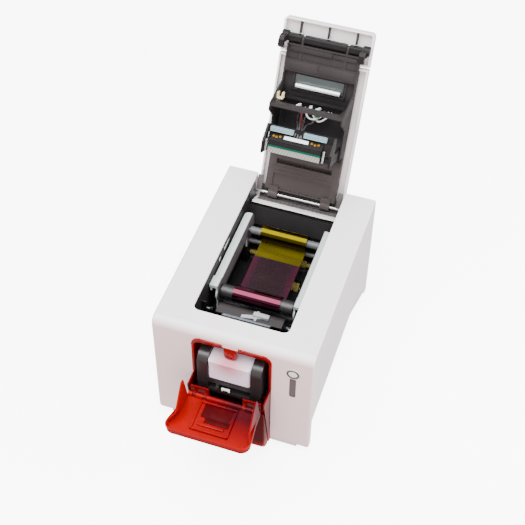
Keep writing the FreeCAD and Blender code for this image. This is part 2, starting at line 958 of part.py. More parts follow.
def hinge_trough():
    """Black block behind the bay, hollowed so that the rear of the lid swings in it."""
    trough = piece("hinge_trough")
    rear = "panel_y - panel_thickness - fit_gap"
    block = rectangle(
        "liner_rear_high + liner_wall + fit_gap", rear, "notch_z - trough_wall", "liner_lip_z"
    )
    half = "liner_inner + liner_wall"
    pad(trough, "YZ", f"-({half})", half, block)
    sweep = disc("hinge_y", "hinge_z", "sweep_radius")
    pocket(trough, "YZ", f"-({half}) - overrun", f"{half} + overrun", sweep)


def transport_bed():
    """Black bed under the card path, with guide ribs, roller slots and posts for the cartridge."""
    bed = piece("transport_bed")
    half = "liner_inner - fit_gap"
    low = "bed_top - bed_thickness"
    pad(bed, "XY", low, "bed_top", rectangle(f"-({half})", half, "bed_front", "bed_rear"))
    skirt = rectangle(f"{half} - ramp_thickness", half, "bed_front", "bed_rear")
    made = pad(bed, "XY", f"{low} - bed_skirt", low, skirt)
    mirror(bed, made)
    rib_top = "path_z - seat_gap"
    for side in ("bed_rib_side", "bed_rib_side * 2"):
        rib = rectangle(f"{side} - bed_rib / 2", f"{side} + bed_rib / 2", "bed_front", "bed_rear")
        made = pad(bed, "XY", "bed_top", rib_top, rib)
        mirror(bed, made)
    post_ends = [
        ("rail_front", "rail_front + rail_leg_width"),
        ("supply_y - rail_leg_width / 2", "supply_y + rail_leg_width / 2"),
    ]
    for start, end in post_ends:
        post = rectangle("rail_inner", "rail_inner + rail_leg_width / 2", start, end)
        made = pad(bed, "XY", "bed_top", "rail_top - rail_leg - fit_gap", post)
        mirror(bed, made)
    ramp = [
        ("ramp_rear", "ramp_low"),
        ("ramp_front", "ramp_high"),
    ]
    underside = [
        ("ramp_front", "ramp_high - ramp_thickness"),
        ("ramp_rear", "ramp_low - ramp_thickness"),
    ]
    pad(bed, "YZ", f"-({half})", half, polygon(*underside, *ramp))
    foot = [("ramp_front", "bed_top - overrun"), ("ramp_rear", "bed_top - overrun")]
    made = pad(bed, "YZ", f"{half} - ramp_thickness", half, polygon(*foot, *ramp))
    mirror(bed, made)
    pocket(bed, "YZ", "-liner_inner", "liner_inner", *shaft_holes("fit_gap"))
    slot_half = "roller_half_length + bed_slot_gap"
    for y, radius in (
        ("print_y", "platen_radius"),
        ("front_feed_y", "feed_radius"),
        ("rear_feed_y", "feed_radius"),
    ):
        reach = f"({radius} + bed_slot_gap)"
        slot = rectangle(f"-({slot_half})", slot_half, f"{y} - {reach}", f"{y} + {reach}")
        pocket(bed, "XY", f"{low} - overrun", "path_z", slot)


def shaft_steps(drive):
    """Steps of a roller's shaft. A driven shaft ends in a flanged pulley of the drive radius."""
    end = "frame_outer + bush_thickness"
    if not drive:
        return [(f"-({end})", "0", "shaft_radius"), ("0", end, "shaft_radius")]
    inner = "pulley_x + fit_gap"
    face = f"{inner} + pulley_rim_width"
    outer = f"{face} + pulley_width"
    return [
        (f"-({end})", "0", "shaft_radius"),
        ("0", inner, "shaft_radius"),
        (inner, face, f"{drive} + pulley_rim"),
        (face, outer, drive),
        (outer, f"{outer} + pulley_rim_width", f"{drive} + pulley_rim"),
    ]


def roller(name, y, z, radius, half_length, drive=None):
    """Rubber-coated roller on its steel shaft."""
    made = piece(name)
    steps = shaft_steps(drive)
    first = (steps[0][0], f"-{half_length}", "shaft_radius")
    sleeve = (f"-{half_length}", half_length, radius)
    last = (half_length, steps[1][1], "shaft_radius")
    turn(made, [first, sleeve, last, *steps[2:]])
    seat(made, y, z)


def platen():
    """Platen roller under the print head: a rubber sleeve on a steel shaft with its pulley."""
    sleeve = piece("platen_sleeve")
    span = ("-roller_half_length", "roller_half_length", "platen_radius")
    turn(sleeve, [span], bore="shaft_radius + bearing_gap")
    seat(sleeve, "print_y", "platen_z")
    shaft = piece("platen_shaft")
    steps = shaft_steps("platen_radius")
    turn(shaft, [(steps[0][0], steps[1][1], "shaft_radius"), *steps[2:]])
    seat(shaft, "print_y", "platen_z")


def motor(name, side, y, z, bored):
    """Square stepper motor on the inner face of a side frame, its round boss in the frame."""
    made = piece(name)
    half = "motor_size / 2"
    face = "frame_inner - fit_gap"
    low, high = ordered(side, f"{face} - motor_length", face)
    corners = {i: "motor_round" for i in range(4)}
    square = rectangle(f"{y} - {half}", f"{y} + {half}", f"{z} - {half}", f"{z} + {half}", corners)
    pad(made, "YZ", low, high, square)
    boss = ordered(side, face, f"{face} + motor_boss_height")
    pad(made, "YZ", *boss, disc(y, z, "motor_boss_radius"))
    if bored:
        hole = ordered(side, f"{face} - motor_length / 2", f"{face} + motor_boss_height + overrun")
        pocket(made, "YZ", *hole, disc(y, z, "motor_shaft_radius + bearing_gap"))
    else:
        stub = ordered(side, face, "pulley_x")
        pad(made, "YZ", *stub, disc(y, z, "motor_shaft_radius"))


def motor_rotor(name, y, z):
    """Shaft of a motor with its flanged pulley."""
    made = piece(name)
    start = "frame_inner - fit_gap - motor_length / 2 + seat_gap"
    inner = "pulley_x + fit_gap"
    face = f"{inner} + pulley_rim_width"
    outer = f"{face} + pulley_width"
    turn(
        made,
        [
            (start, inner, "motor_shaft_radius"),
            (inner, face, "feed_radius + pulley_rim"),
            (face, outer, "feed_radius"),
            (outer, f"{outer} + pulley_rim_width", "feed_radius + pulley_rim"),
        ],
    )
    seat(made, y, z)


def belt_run(radius):
    """Outline of a belt of a radius round the motor and both feed pulleys, without its round ends."""
    centres = [
        ("front_feed_y", "feed_z"),
        ("motor_y", "motor_z"),
        ("rear_feed_y", "feed_z"),
    ]
    points = []
    for start, end in zip(centres, centres[1:] + centres[:1]):
        along = f"(({end[0]}) - ({start[0]}))"
        up = f"(({end[1]}) - ({start[1]}))"
        share = f"({radius}) / sqrt({along} * {along} + {up} * {up})"
        for y, z in (start, end):
            points.append((f"{y} + {up} * {share}", f"{z} - {along} * {share}"))
    return polygon(*points), [disc(y, z, radius) for y, z in centres]


def drive_belt():
    """Belt round the motor's pulley and both feed pulleys. The platen's pulley rides in its top run."""
    belt = piece("drive_belt")
    low = "pulley_x + fit_gap + pulley_rim_width + belt_side_gap"
    high = f"{low} + pulley_width - belt_side_gap * 2"
    run, ends = belt_run("feed_radius + belt_gap + belt_thickness")
    pad(belt, "YZ", low, high, run)
    for end in ends:
        pad(belt, "YZ", low, high, end)
    run, ends = belt_run("feed_radius + belt_gap")
    pocket(belt, "YZ", f"{low} - overrun", f"{high} + overrun", run)
    for end in ends:
        pocket(belt, "YZ", f"{low} - overrun", f"{high} + overrun", end)


def card_feeder():
    """Black card feeder: two rounded columns, crossbar, sill, and the magazine behind them."""
    feeder = piece("card_feeder")
    inner = "card_width / 2 + magazine_gap"
    outer = f"{inner} + column_width"
    rear = "feeder_front + column_depth"
    column = polygon(
        ("feeder_front", "sill_z"),
        (rear, "sill_z"),
        (rear, "column_top"),
        ("feeder_front", "column_top"),
        rounds={3: "column_round"},
    )
    made = pad(feeder, "YZ", inner, outer, column)
    mirror(feeder, made)
    across = (f"-({inner}) - overrun", f"{inner} + overrun")
    sill = rectangle("feeder_front", rear, "sill_z", "sill_z + sill_height")
    bar = rectangle(
        "feeder_front", "feeder_front + crossbar_depth", "crossbar_z", "stack_z - fit_gap"
    )
    floor_low = "stack_z - fit_gap - magazine_wall"
    floor = rectangle("feeder_front", "magazine_end", floor_low, "stack_z - fit_gap")
    pad(feeder, "YZ", *across, sill)
    pad(feeder, "YZ", *across, bar)
    pad(feeder, "YZ", *across, floor)
    cheek = polygon(
        (f"{rear} - overrun", floor_low),
        ("magazine_end + magazine_wall", floor_low),
        ("magazine_end + magazine_wall", "cheek_low_z"),
        ("comb_rear", "cheek_low_z"),
        ("comb_front", "roof_z - fit_gap"),
        (f"{rear} - overrun", "roof_z - fit_gap"),
    )
    made = pad(feeder, "YZ", inner, f"{inner} + magazine_wall", cheek)
    mirror(feeder, made)
    stop = rectangle(
        "magazine_end",
        "magazine_end + magazine_wall",
        "stack_z + card_thickness * 2",
        "cheek_low_z",
    )
    pad(feeder, "YZ", *across, stop)
    slot_half = "pick_half_length + bed_slot_gap"
    slot = rectangle(
        f"-({slot_half})",
        slot_half,
        "pick_y - pick_radius - bed_slot_gap",
        "pick_y + pick_radius + bed_slot_gap",
    )
    pocket(feeder, "XY", f"{floor_low} - overrun", "stack_z", slot)
    notch = rectangle("-bar_slot_width / 2", "bar_slot_width / 2", "crossbar_z + bar_slot_low", "stack_z")
    pocket(feeder, "XZ", "feeder_front - overrun", "feeder_front + bar_slot_depth", notch)
    reach = "gauge_width / 2 + gauge_travel + fit_gap"
    groove = rectangle(
        f"gauge_x - ({reach})",
        f"gauge_x + {reach}",
        "feeder_front + gauge_depth / 2 - gauge_tongue_depth / 2 - fit_gap",
        "feeder_front + gauge_depth / 2 + gauge_tongue_depth / 2 + fit_gap",
    )
    pocket(feeder, "XY", "crossbar_z - overrun", "crossbar_z + gauge_tongue", groove)


def blank_cards():
    """Stack of blank plastic cards in the feeder."""
    cards = piece("blank_cards")
    corners = {i: "card_corner" for i in range(4)}
    card = rectangle(
        "-card_width / 2",
        "card_width / 2",
        "stack_front",
        "stack_front + card_length",
        rounds=corners,
    )
    pad(cards, "XY", "stack_z", "stack_z + stack_height", card)


def gauge_lever():
    """Small grey lever that sets the gate for the thickness of the cards."""
    lever = piece("gauge_lever")
    top = "crossbar_z - fit_gap"
    stem = rectangle(
        "gauge_x - gauge_width / 2", "gauge_x + gauge_width / 2", f"{top} - gauge_height", top
    )
    pad(lever, "XZ", "feeder_front", "feeder_front + gauge_depth", stem)
    grip = rectangle(
        "gauge_x - gauge_width / 2",
        "gauge_x + gauge_width / 2",
        f"{top} - gauge_height",
        f"{top} - gauge_height / 2",
    )
    pad(lever, "XZ", "feeder_front - gauge_grip", "feeder_front", grip)
    tongue = rectangle(
        "gauge_x - gauge_width / 2",
        "gauge_x + gauge_width / 2",
        "feeder_front + gauge_depth / 2 - gauge_tongue_depth / 2",
        "feeder_front + gauge_depth / 2 + gauge_tongue_depth / 2",
    )
    pad(lever, "XY", f"{top} - overrun", f"{top} + gauge_tongue", tongue)


def feeder_roof():
    """Black roof over the cards, with a sloping ribbed comb at its rear edge."""
    roof = piece("feeder_roof")
    start = "feeder_front + column_depth + fit_gap"
    plate = rectangle("-roof_half_width", "roof_half_width", start, "comb_front")
    pad(roof, "XY", "roof_z", "roof_z + roof_thickness", plate)
    wedge = polygon(
        ("comb_front - roof_thickness", "roof_z"),
        ("comb_rear", "roof_z"),
        ("comb_rear", "roof_z + roof_thickness"),
        ("comb_front", "roof_z + roof_thickness + comb_rise"),
        ("comb_front - roof_thickness", "roof_z + roof_thickness + comb_rise"),
    )
    pad(roof, "YZ", "-comb_half_width", "comb_half_width", wedge)
    groove = polygon(
        ("comb_front - roof_thickness / 2", "roof_z + roof_thickness + comb_rise + overrun"),
        ("comb_front - roof_thickness / 2", "roof_z + roof_thickness + comb_rise - comb_rib"),
        ("comb_rear + overrun", "roof_z + roof_thickness - comb_rib"),
        ("comb_rear + overrun", "roof_z + roof_thickness + comb_rise + overrun"),
    )
    pitch = "comb_half_width * 2 / comb_ribs"
    cut = pocket(roof, "YZ", "-comb_half_width + comb_rib", f"-comb_half_width + {pitch}", groove)
    repeat(roof, cut, "X", pitch, "comb_ribs")


def feeder_hood():
    """Rounded black hood over the far end of the cards, open towards the feeder."""
    hood = piece("feeder_hood")
    front = "comb_rear + fit_gap"
    top = "roof_z + roof_thickness"
    outline = polygon(
        (front, "hood_low"),
        ("hood_rear", "hood_low"),
        ("hood_rear", top),
        (front, top),
        rounds={2: "hood_round"},
    )
    pad(hood, "YZ", "-roof_half_width", "roof_half_width", outline)
    hollow = polygon(
        (f"{front} - overrun", "hood_low - overrun"),
        ("hood_rear - hood_wall", "hood_low - overrun"),
        ("hood_rear - hood_wall", f"{top} - hood_wall"),
        (f"{front} - overrun", f"{top} - hood_wall"),
        rounds={2: "hood_round - hood_wall"},
    )
    half = "roof_half_width - hood_wall"
    pocket(hood, "YZ", f"-({half})", half, hollow)


def guide_clip():
    """Light grey spring clip on the rounded cover: a thin blade and a bracket with two prongs."""
    clip = piece("guide_clip")
    low = "roof_z + roof_thickness + fit_gap"
    blade = polygon(
        ("guide_clip_x - guide_clip_length / 2", "guide_clip_y - blade_width"),
        ("guide_clip_x", "guide_clip_y - blade_width / 2"),
        ("guide_clip_x + guide_clip_length / 4", "guide_clip_y"),
        ("guide_clip_x", "guide_clip_y + blade_width / 2"),
        ("guide_clip_x - guide_clip_length / 2", "guide_clip_y - blade_width / 4"),
    )
    pad(clip, "XY", low, f"{low} + blade_thickness", blade)
    block = rectangle(
        "guide_clip_x - blade_width / 2",
        "guide_clip_x + guide_clip_length / 2",
        "guide_clip_y",
        "guide_clip_y + blade_width",
    )
    pad(clip, "XY", low, f"{low} + bracket_height", block)
    prong = rectangle(
        "guide_clip_x",
        "guide_clip_x + blade_width / 2",
        "guide_clip_y - blade_width",
        "guide_clip_y + blade_width * 3 / 2",
    )
    pad(clip, "XY", low, f"{low} + bracket_height / 2", prong)


def front_surround():
    """Translucent red frame in the front window, with a spring tab at its top."""
    frame = piece("front_surround")
    front = "front_y - surround_proud"
    rear = "front_y + surround_depth"
    low = "hopper_top + fit_gap"
    top = "window_top - surround_gap"
    inner = "module_half - surround_wall"
    outer_round = "window_round - surround_gap"
    outline = rectangle(
        "-module_half", "module_half", low, top, rounds={2: outer_round, 3: outer_round}
    )
    pad(frame, "XZ", front, rear, outline)
    inner_round = f"{outer_round} - surround_wall"
    hollow = rectangle(
        f"-({inner})",
        inner,
        f"{low} - overrun",
        f"{top} - surround_wall",
        rounds={2: inner_round, 3: inner_round},
    )
    pocket(frame, "XZ", f"{front} - overrun", f"{rear} - surround_wall", hollow)
    mouth = f"{inner} - surround_flange"
    mouth_round = f"{inner_round} - surround_flange"
    hole = rectangle(
        f"-({mouth})",
        mouth,
        f"{low} - overrun",
        f"{top} - surround_wall - surround_flange",
        rounds={2: mouth_round, 3: mouth_round},
    )
    pocket(frame, "XZ", f"{rear} - surround_wall - overrun", f"{rear} + overrun", hole)
    left = "tab_offset - tab_width / 2"
    right = "tab_offset + tab_width / 2"
    for start, end in ((f"{left} - tab_slot", left), (right, f"{right} + tab_slot")):
        slot = rectangle(start, end, front, f"{rear} - surround_wall * 2")
        pocket(frame, "XY", f"{top} - surround_wall - overrun", f"{top} + overrun", slot)
    tab_round = "tab_width / 2 - tab_slot / 2"
    tab = rectangle(left, right, f"{top} - tab_length", top, rounds={0: tab_round, 1: tab_round})
    pad(frame, "XZ", front, f"{front} + surround_wall", tab)
    ring = disc("tab_offset", f"{top} - tab_length + tab_width / 2", "tab_boss")
    pad(frame, "XZ", f"{front} - tab_boss_height", front, ring)
    inside = disc("tab_offset", f"{top} - tab_length + tab_width / 2", "tab_boss - surround_wall / 2")
    pocket(frame, "XZ", f"{front} - tab_boss_height - overrun", front, inside)


def hopper_profile(inset):
    """Front line of the hopper from its rim to its foot, moved back by an inset."""
    return [
        (f"hopper_rim_y + {inset}", "hopper_top"),
        (f"hopper_neck_y + {inset}", "hopper_neck_z"),
        (f"hopper_waist_y + {inset}", "hopper_waist_z"),
        (f"hopper_low_y + {inset}", "hopper_low_z"),
        (f"hopper_foot_y + {inset}", "hopper_foot_z"),
    ]


def output_hopper():
    """Translucent red pocket for the printed cards, with ears for the door above it."""
    hopper = piece("output_hopper")
    rear = "front_y + hopper_wall"
    outer = polygon(
        *hopper_profile("0"),
        ("front_y - hopper_wall", "base_z + hopper_lift"),
        (rear, "base_z + hopper_lift"),
        (rear, "hopper_top"),
    )
    pad(hopper, "YZ", "-module_half", "module_half", outer)
    ears = ("hopper_ear_near", "hopper_ear_far")
    for near in ears:
        ear = polygon(
            ("door_pivot_y", "door_pivot_z - door_barrel_radius"),
            ("hopper_neck_y + hopper_wall / 2", "door_pivot_z - door_barrel_radius"),
            ("hopper_neck_y + hopper_wall / 2", "door_pivot_z + door_barrel_radius"),
            ("door_pivot_y", "door_pivot_z + door_barrel_radius"),
        )
        bar = pad(hopper, "YZ", near, f"{near} + door_ear_width", ear)
        eye = disc("door_pivot_y", "door_pivot_z", "door_barrel_radius")
        end = pad(hopper, "YZ", near, f"{near} + door_ear_width", eye)
        mirror(hopper, bar, end)
    pin = disc("door_pivot_y", "door_pivot_z", "door_pin_radius + bearing_gap")
    pocket(hopper, "YZ", "-module_half", "module_half", pin)
    inner = polygon(
        ("hopper_rim_y + hopper_wall", "hopper_top + overrun"),
        *hopper_profile("hopper_wall")[1:],
        ("front_y", "hopper_foot_z"),
        ("front_y", "hopper_top + overrun"),
    )
    pocket(hopper, "YZ", "-hopper_inner", "hopper_inner", inner)
    back = rectangle("-hopper_inner", "hopper_inner", "hopper_back_top", "hopper_top + overrun")
    pocket(hopper, "XZ", "front_y - overrun", f"{rear} + overrun", back)
    notch = rectangle(
        "-hopper_notch_width / 2",
        "hopper_notch_width / 2",
        "hopper_top - hopper_notch_depth",
        "hopper_top + overrun",
        rounds={0: "hopper_notch_round", 1: "hopper_notch_round"},
    )
    pocket(hopper, "XZ", "door_pivot_y - overrun", "hopper_low_y", notch)
    gap = rectangle(
        "door_wall_outer - door_wall - fit_gap",
        "hopper_inner",
        "door_pivot_z - door_barrel_radius * 2",
        "hopper_top + overrun",
    )
    cut = pocket(hopper, "XZ", "door_pivot_y - overrun", "hopper_waist_y", gap)
    mirror(hopper, cut)


def door_pins():
    """Two short steel pins that the feeder door turns on."""
    pins = piece("door_pins")
    start = "hopper_ear_near"
    end = "hopper_ear_far + door_ear_width"
    made = pad(pins, "YZ", start, end, disc("door_pivot_y", "door_pivot_z", "door_pin_radius"))
    mirror(pins, made)


def feeder_door():
    """Translucent red door of the feeder, drawn open: plate, low wall, tall side flanges, framed panel."""
    door = piece("feeder_door")
    low = "door_pivot_z - door_drop"
    face = f"{low} + door_thickness"
    near = "door_pivot_y - door_near_gap"
    far = "door_pivot_y - door_length"
    corners = {0: "door_corner_round", 1: "door_corner_round"}
    plate = rectangle("-module_half", "module_half", far, near, rounds=corners)
    pad(door, "XY", low, face, plate)
    wall_far = f"{far} + module_half - door_wall_outer"
    wall_round = "door_corner_round - module_half + door_wall_outer"
    ring = rectangle(
        "-door_wall_outer",
        "door_wall_outer",
        wall_far,
        near,
        rounds={0: wall_round, 1: wall_round},
    )
    pad(door, "XY", face, f"{low} + door_end_height", ring)
    inner = "door_wall_outer - door_wall"
    inner_round = f"{wall_round} - door_wall"
    hollow = rectangle(
        f"-({inner})",
        inner,
        f"{wall_far} + door_wall",
        f"{near} + overrun",
        rounds={0: inner_round, 1: inner_round},
    )
    pocket(door, "XY", face, f"{low} + door_end_height + overrun", hollow)
    flange = polygon(
        (near, low),
        (f"{near} - door_flange_back", f"{low} + door_flange_height"),
        (f"{near} - door_flange_back - door_flange_top", f"{low} + door_flange_height"),
        (f"{wall_far} + door_corner_round", f"{low} + door_end_height"),
        (f"{wall_far} + door_corner_round", low),
        rounds={1: "door_flange_round", 2: "door_flange_round"},
    )
    made = pad(door, "YZ", inner, "door_wall_outer", flange)
    mirror(door, made)
    panel_half = "door_panel_width / 2"
    panel_near = f"{near} - door_panel_front"
    panel_far = f"{panel_near} - door_panel_length"
    panel_round = {i: "door_panel_round" for i in range(4)}
    frame = rectangle(
        f"door_panel_x - {panel_half}", f"door_panel_x + {panel_half}", panel_far, panel_near, panel_round
    )
    pad(door, "XY", face, f"{face} + door_panel_rise", frame)
    rib_round = {i: "door_panel_round - door_panel_rib" for i in range(4)}
    inside = rectangle(
        f"door_panel_x - {panel_half} + door_panel_rib",
        f"door_panel_x + {panel_half} - door_panel_rib",
        f"{panel_far} + door_panel_rib",
        f"{panel_near} - door_panel_rib",
        rib_round,
    )
    pocket(door, "XY", f"{low} + door_panel_skin", f"{face} + door_panel_rise + overrun", inside)
    barrel_near = "hopper_ear_near + door_ear_width + fit_gap"
    barrel_far = "hopper_ear_far - fit_gap"
    web = rectangle(f"{near} - overrun", "door_pivot_y", low, face)
    joined = pad(door, "YZ", barrel_near, barrel_far, web)
    barrel = pad(
        door,
        "YZ",
        barrel_near,
        barrel_far,
        disc("door_pivot_y", "door_pivot_z", "door_barrel_radius"),
    )
    mirror(door, joined, barrel)
    bore = disc("door_pivot_y", "door_pivot_z", "door_pin_radius + bearing_gap")
    pocket(door, "YZ", "-module_half", "module_half", bore)


def control_button():
    """Round button on the front, with a guide rim behind the cover."""
    button = piece("control_button")
    face = "front_y - button_proud"
    pad(button, "XZ", face, "front_y + button_length", disc("button_x", "button_z", "button_radius"))
    behind = "front_y + cover_wall + fit_gap"
    rim = disc("button_x", "button_z", "button_radius + button_rim")
    pad(button, "XZ", behind, "front_y + button_length", rim)


def status_window():
    """Smoked light window under the button, held by a flange behind the cover."""
    window = piece("status_window")
    rear = "front_y + cover_wall + fit_gap"
    pad(window, "XZ", "front_y", rear, status_outline("0"))
    pad(window, "XZ", rear, f"{rear} + small_board", status_outline("status_flange"))


def status_board():
    """Small circuit board behind the button and the window, on four posts."""
    board = piece("status_board")
    face = "front_y + button_length + button_travel + working_gap"
    half = "status_board_width / 2"
    low = "status_low - status_board_margin"
    high = "button_z + status_board_margin * 2"
    plate = rectangle(f"button_x - {half}", f"button_x + {half}", low, high)
    pad(board, "XZ", face, f"{face} + small_board", plate)
    inset = "status_board_margin / 2"
    places = [
        (f"button_x {side} ({half} - {inset})", height)
        for side in ("-", "+")
        for height in (f"{low} + {inset}", f"{high} - {inset}")
    ]
    posts = [disc(x, z, "post_radius / 2") for x, z in places]
    pad(board, "XZ", "front_y + cover_wall + fit_gap", face, *posts)


def rear_panel():
    """White rear panel with its sockets' openings, a lock slot and a row of vents."""
    panel = piece("rear_panel")
    low_half = "low_half - seat_gap"
    high_half = "high_half - seat_gap"
    notch = "liner_inner"
    outline = polygon(
        (f"-({low_half})", "base_z + seat_gap"),
        (low_half, "base_z + seat_gap"),
        (low_half, "shoulder_z + seat_gap"),
        (high_half, "shoulder_z + seat_gap"),
        (high_half, "under_top - fit_gap"),
        (notch, "under_top - fit_gap"),
        (notch, "notch_z"),
        (f"-{notch}", "notch_z"),
        (f"-{notch}", "under_top - fit_gap"),
        (f"-({high_half})", "under_top - fit_gap"),
        (f"-({high_half})", "shoulder_z + seat_gap"),
        (f"-({low_half})", "shoulder_z + seat_gap"),
    )
    rear = "panel_y"
    front = "panel_y - panel_thickness"
    pad(panel, "XZ", front, rear, outline)
    through = (f"{front} - overrun", f"{rear} + overrun")
    board_top = "board_z + small_board"
    for x, width, height in (
        ("usb_x", "usb_width", "usb_height"),
        ("net_x", "net_width", "net_height"),
    ):
        hole = rectangle(
            f"{x} - {width} / 2 - socket_gap",
            f"{x} + {width} / 2 + socket_gap",
            f"{board_top} + fit_gap - socket_gap",
            f"{board_top} + fit_gap + {height} + socket_gap",
        )
        pocket(panel, "XZ", *through, hole)
    pocket(panel, "XZ", *through, disc("inlet_x", "inlet_z", "inlet_radius + fit_gap"))
    switch = rectangle(
        "switch_x - switch_width / 2 - fit_gap",
        "switch_x + switch_width / 2 + fit_gap",
        "inlet_z - switch_height / 2 - fit_gap",
        "inlet_z + switch_height / 2 + fit_gap",
    )
    pocket(panel, "XZ", *through, switch)
    lock = rectangle(
        "lock_x - lock_width / 2", "lock_x + lock_width / 2", "inlet_z", "inlet_z + lock_height"
    )
    pocket(panel, "XZ", *through, lock)
    span = "rear_vent_pitch * (rear_vent_count - 1) / 2"
    vent = rectangle(
        f"-({span}) - rear_vent_width / 2",
        f"-({span}) + rear_vent_width / 2",
        "rear_vent_z",
        "rear_vent_z + rear_vent_height",
    )
    cut = pocket(panel, "XZ", *through, vent)
    repeat(panel, cut, "X", "rear_vent_pitch", "rear_vent_count")


def main_board():
    """Green main board on posts over the tray, with its larger components."""
    board = piece("main_board")
    rear = "panel_y - panel_thickness - socket_gap"
    front = f"{rear} - board_length"
    half = "board_width / 2"
    top = "board_z + small_board"
    pad(board, "XY", "board_z", top, rectangle(f"-{half}", half, front, rear))
    inset = "post_radius * 4"
    places = [
        (f"{side} ({half} - {inset})", y)
        for side in ("-", "")
        for y in (f"{front} + {inset}", f"{rear} - {inset}")
    ]
    posts = [disc(x, y, "post_radius") for x, y in places]
    pad(board, "XY", "base_z + tray_floor", "board_z", *posts)
    chip = "chip_size / 2"
    row = f"{front} + board_length / 3"
    chips = [
        rectangle(f"{x} - {chip}", f"{x} + {chip}", f"{row} - {chip}", f"{row} + {chip}")
        for x in ("-chip_size * 2", "0", "chip_size * 2")
    ]
    pad(board, "XY", top, f"{top} + chip_height", *chips)
    tins = [disc(x, f"{front} + chip_size / 2", "tin_radius") for x in ("-chip_size", "chip_size")]
    pad(board, "XY", top, f"{top} + tin_height", *tins)


def socket(name, x, width, height, depth):
    """Metal socket on the main board, flush with the rear panel."""
    made = piece(name)
    low = "board_z + small_board + fit_gap"
    box = rectangle(f"{x} - {width} / 2", f"{x} + {width} / 2", low, f"{low} + {height}")
    pad(made, "XZ", f"panel_y - {depth}", "panel_y", box)
    mouth = rectangle(
        f"{x} - {width} / 2 + socket_wall",
        f"{x} + {width} / 2 - socket_wall",
        f"{low} + socket_wall",
        f"{low} + {height} - socket_wall",
    )
    pocket(made, "XZ", f"panel_y - {depth} * 3 / 4", "panel_y + overrun", mouth)


def power_inlet():
    """Round power inlet in the rear panel, with its contact pin."""
    inlet = piece("power_inlet")
    front = "panel_y - inlet_depth"
    pad(inlet, "XZ", front, "panel_y", disc("inlet_x", "inlet_z", "inlet_radius"))
    behind = "panel_y - panel_thickness - fit_gap"
    pad(inlet, "XZ", front, behind, disc("inlet_x", "inlet_z", "inlet_radius + socket_wall"))
    bore = disc("inlet_x", "inlet_z", "inlet_bore")
    pocket(inlet, "XZ", f"{front} + socket_wall * 2", "panel_y + overrun", bore)
    pin = disc("inlet_x", "inlet_z", "inlet_pin_radius")
    pad(inlet, "XZ", f"{front} + socket_wall", "panel_y - socket_wall", pin)


def switch_housing():
    """Black frame of the power switch, clipped into the rear panel."""
    frame = piece("switch_housing")
    box = rectangle(
        "switch_x - switch_width / 2",
        "switch_x + switch_width / 2",
        "inlet_z - switch_height / 2",
        "inlet_z + switch_height / 2",
    )
    pad(frame, "XZ", "panel_y - switch_depth", "panel_y", box)
    hole = rectangle(
        "switch_x - rocker_width / 2 - fit_gap",
        "switch_x + rocker_width / 2 + fit_gap",
        "inlet_z - rocker_height / 2 - rocker_gap",
        "inlet_z + rocker_height / 2 + rocker_gap",
    )
    pocket(frame, "XZ", "panel_y - switch_depth + socket_wall", "panel_y + overrun", hole)
    eye = disc("rocker_y - rocker_axis", "inlet_z", "rocker_pin_radius + bearing_gap")
    half = "switch_width / 2 + overrun"
    pocket(frame, "YZ", f"switch_x - ({half})", f"switch_x + {half}", eye)


def rocker_outline():
    """Side view of the rocker at rest: a shallow V with its upper end pressed in."""
    half = "rocker_height / 2"
    return polygon(
        ("rocker_y - rocker_depth", "inlet_z"),
        ("rocker_y - rocker_tip", f"inlet_z - {half}"),
        ("rocker_y + rocker_peak", f"inlet_z - {half}"),
        ("rocker_y", "inlet_z"),
        ("rocker_y", f"inlet_z + {half}"),
        ("rocker_y - rocker_tip", f"inlet_z + {half}"),
    )


def power_rocker():
    """Rocker of the power switch, on a pin that turns in the frame's side walls."""
    rocker = piece("power_rocker")
    half = "rocker_width / 2"
    pad(rocker, "YZ", f"switch_x - {half}", f"switch_x + {half}", rocker_outline())
    pin = disc("rocker_y - rocker_axis", "inlet_z", "rocker_pin_radius")
    reach = "switch_width / 2 - fit_gap"
    pad(rocker, "YZ", f"switch_x - ({reach})", f"switch_x + {reach}", pin)


def lid_catches():
    """Spring steel catches on both walls of the bay, which the hooks of the lid snap under."""
    catches = piece("lid_catches")
    bar = disc("catch_y", "catch_z", "catch_radius")
    made = pad(catches, "YZ", "catch_inner", "liner_inner - fit_gap", bar)
    strip = rectangle(
        "catch_y - catch_radius",
        "catch_y - catch_radius + catch_strip",
        "catch_z",
        "catch_z + catch_length",
    )
    leaf = pad(catches, "YZ", "liner_inner - fit_gap - catch_leaf_width", "liner_inner - fit_gap", strip)
    mirror(catches, made, leaf)


def lid_cover():
    """White shell of the lid, with a rounded rear edge and a flange that hangs behind the hinge."""
    cover = piece("lid_cover")
    outline = polygon(
        ("seam_y", "rim_z"),
        ("rear_y - lid_wall", "rim_z"),
        ("rear_y - lid_wall", "hinge_z - lid_flange_drop"),
        ("rear_y", "hinge_z - lid_flange_drop"),
        ("rear_y", "top_z"),
        ("seam_y", "top_z"),
        rounds={4: "lid_rear_round"},
    )
    pad(cover, "YZ", "-half_lid", "half_lid", outline)
    side = "half_lid - lid_wall"
    bevel = "lid_rear_round / 2"
    hollow = polygon(
        ("seam_y + lid_wall", "rim_z - overrun"),
        ("rear_y - lid_wall", "rim_z - overrun"),
        ("rear_y - lid_wall", f"lid_under - {bevel}"),
        (f"rear_y - lid_wall - {bevel}", "lid_under"),
        ("seam_y + lid_wall", "lid_under"),
    )
    pocket(cover, "YZ", f"-({side})", side, hollow)
    round_edges(
        cover,
        "lid_edge_round",
        lambda e: lies(e, x="half_lid", z="top_z"),
    )
    open_lid(cover)


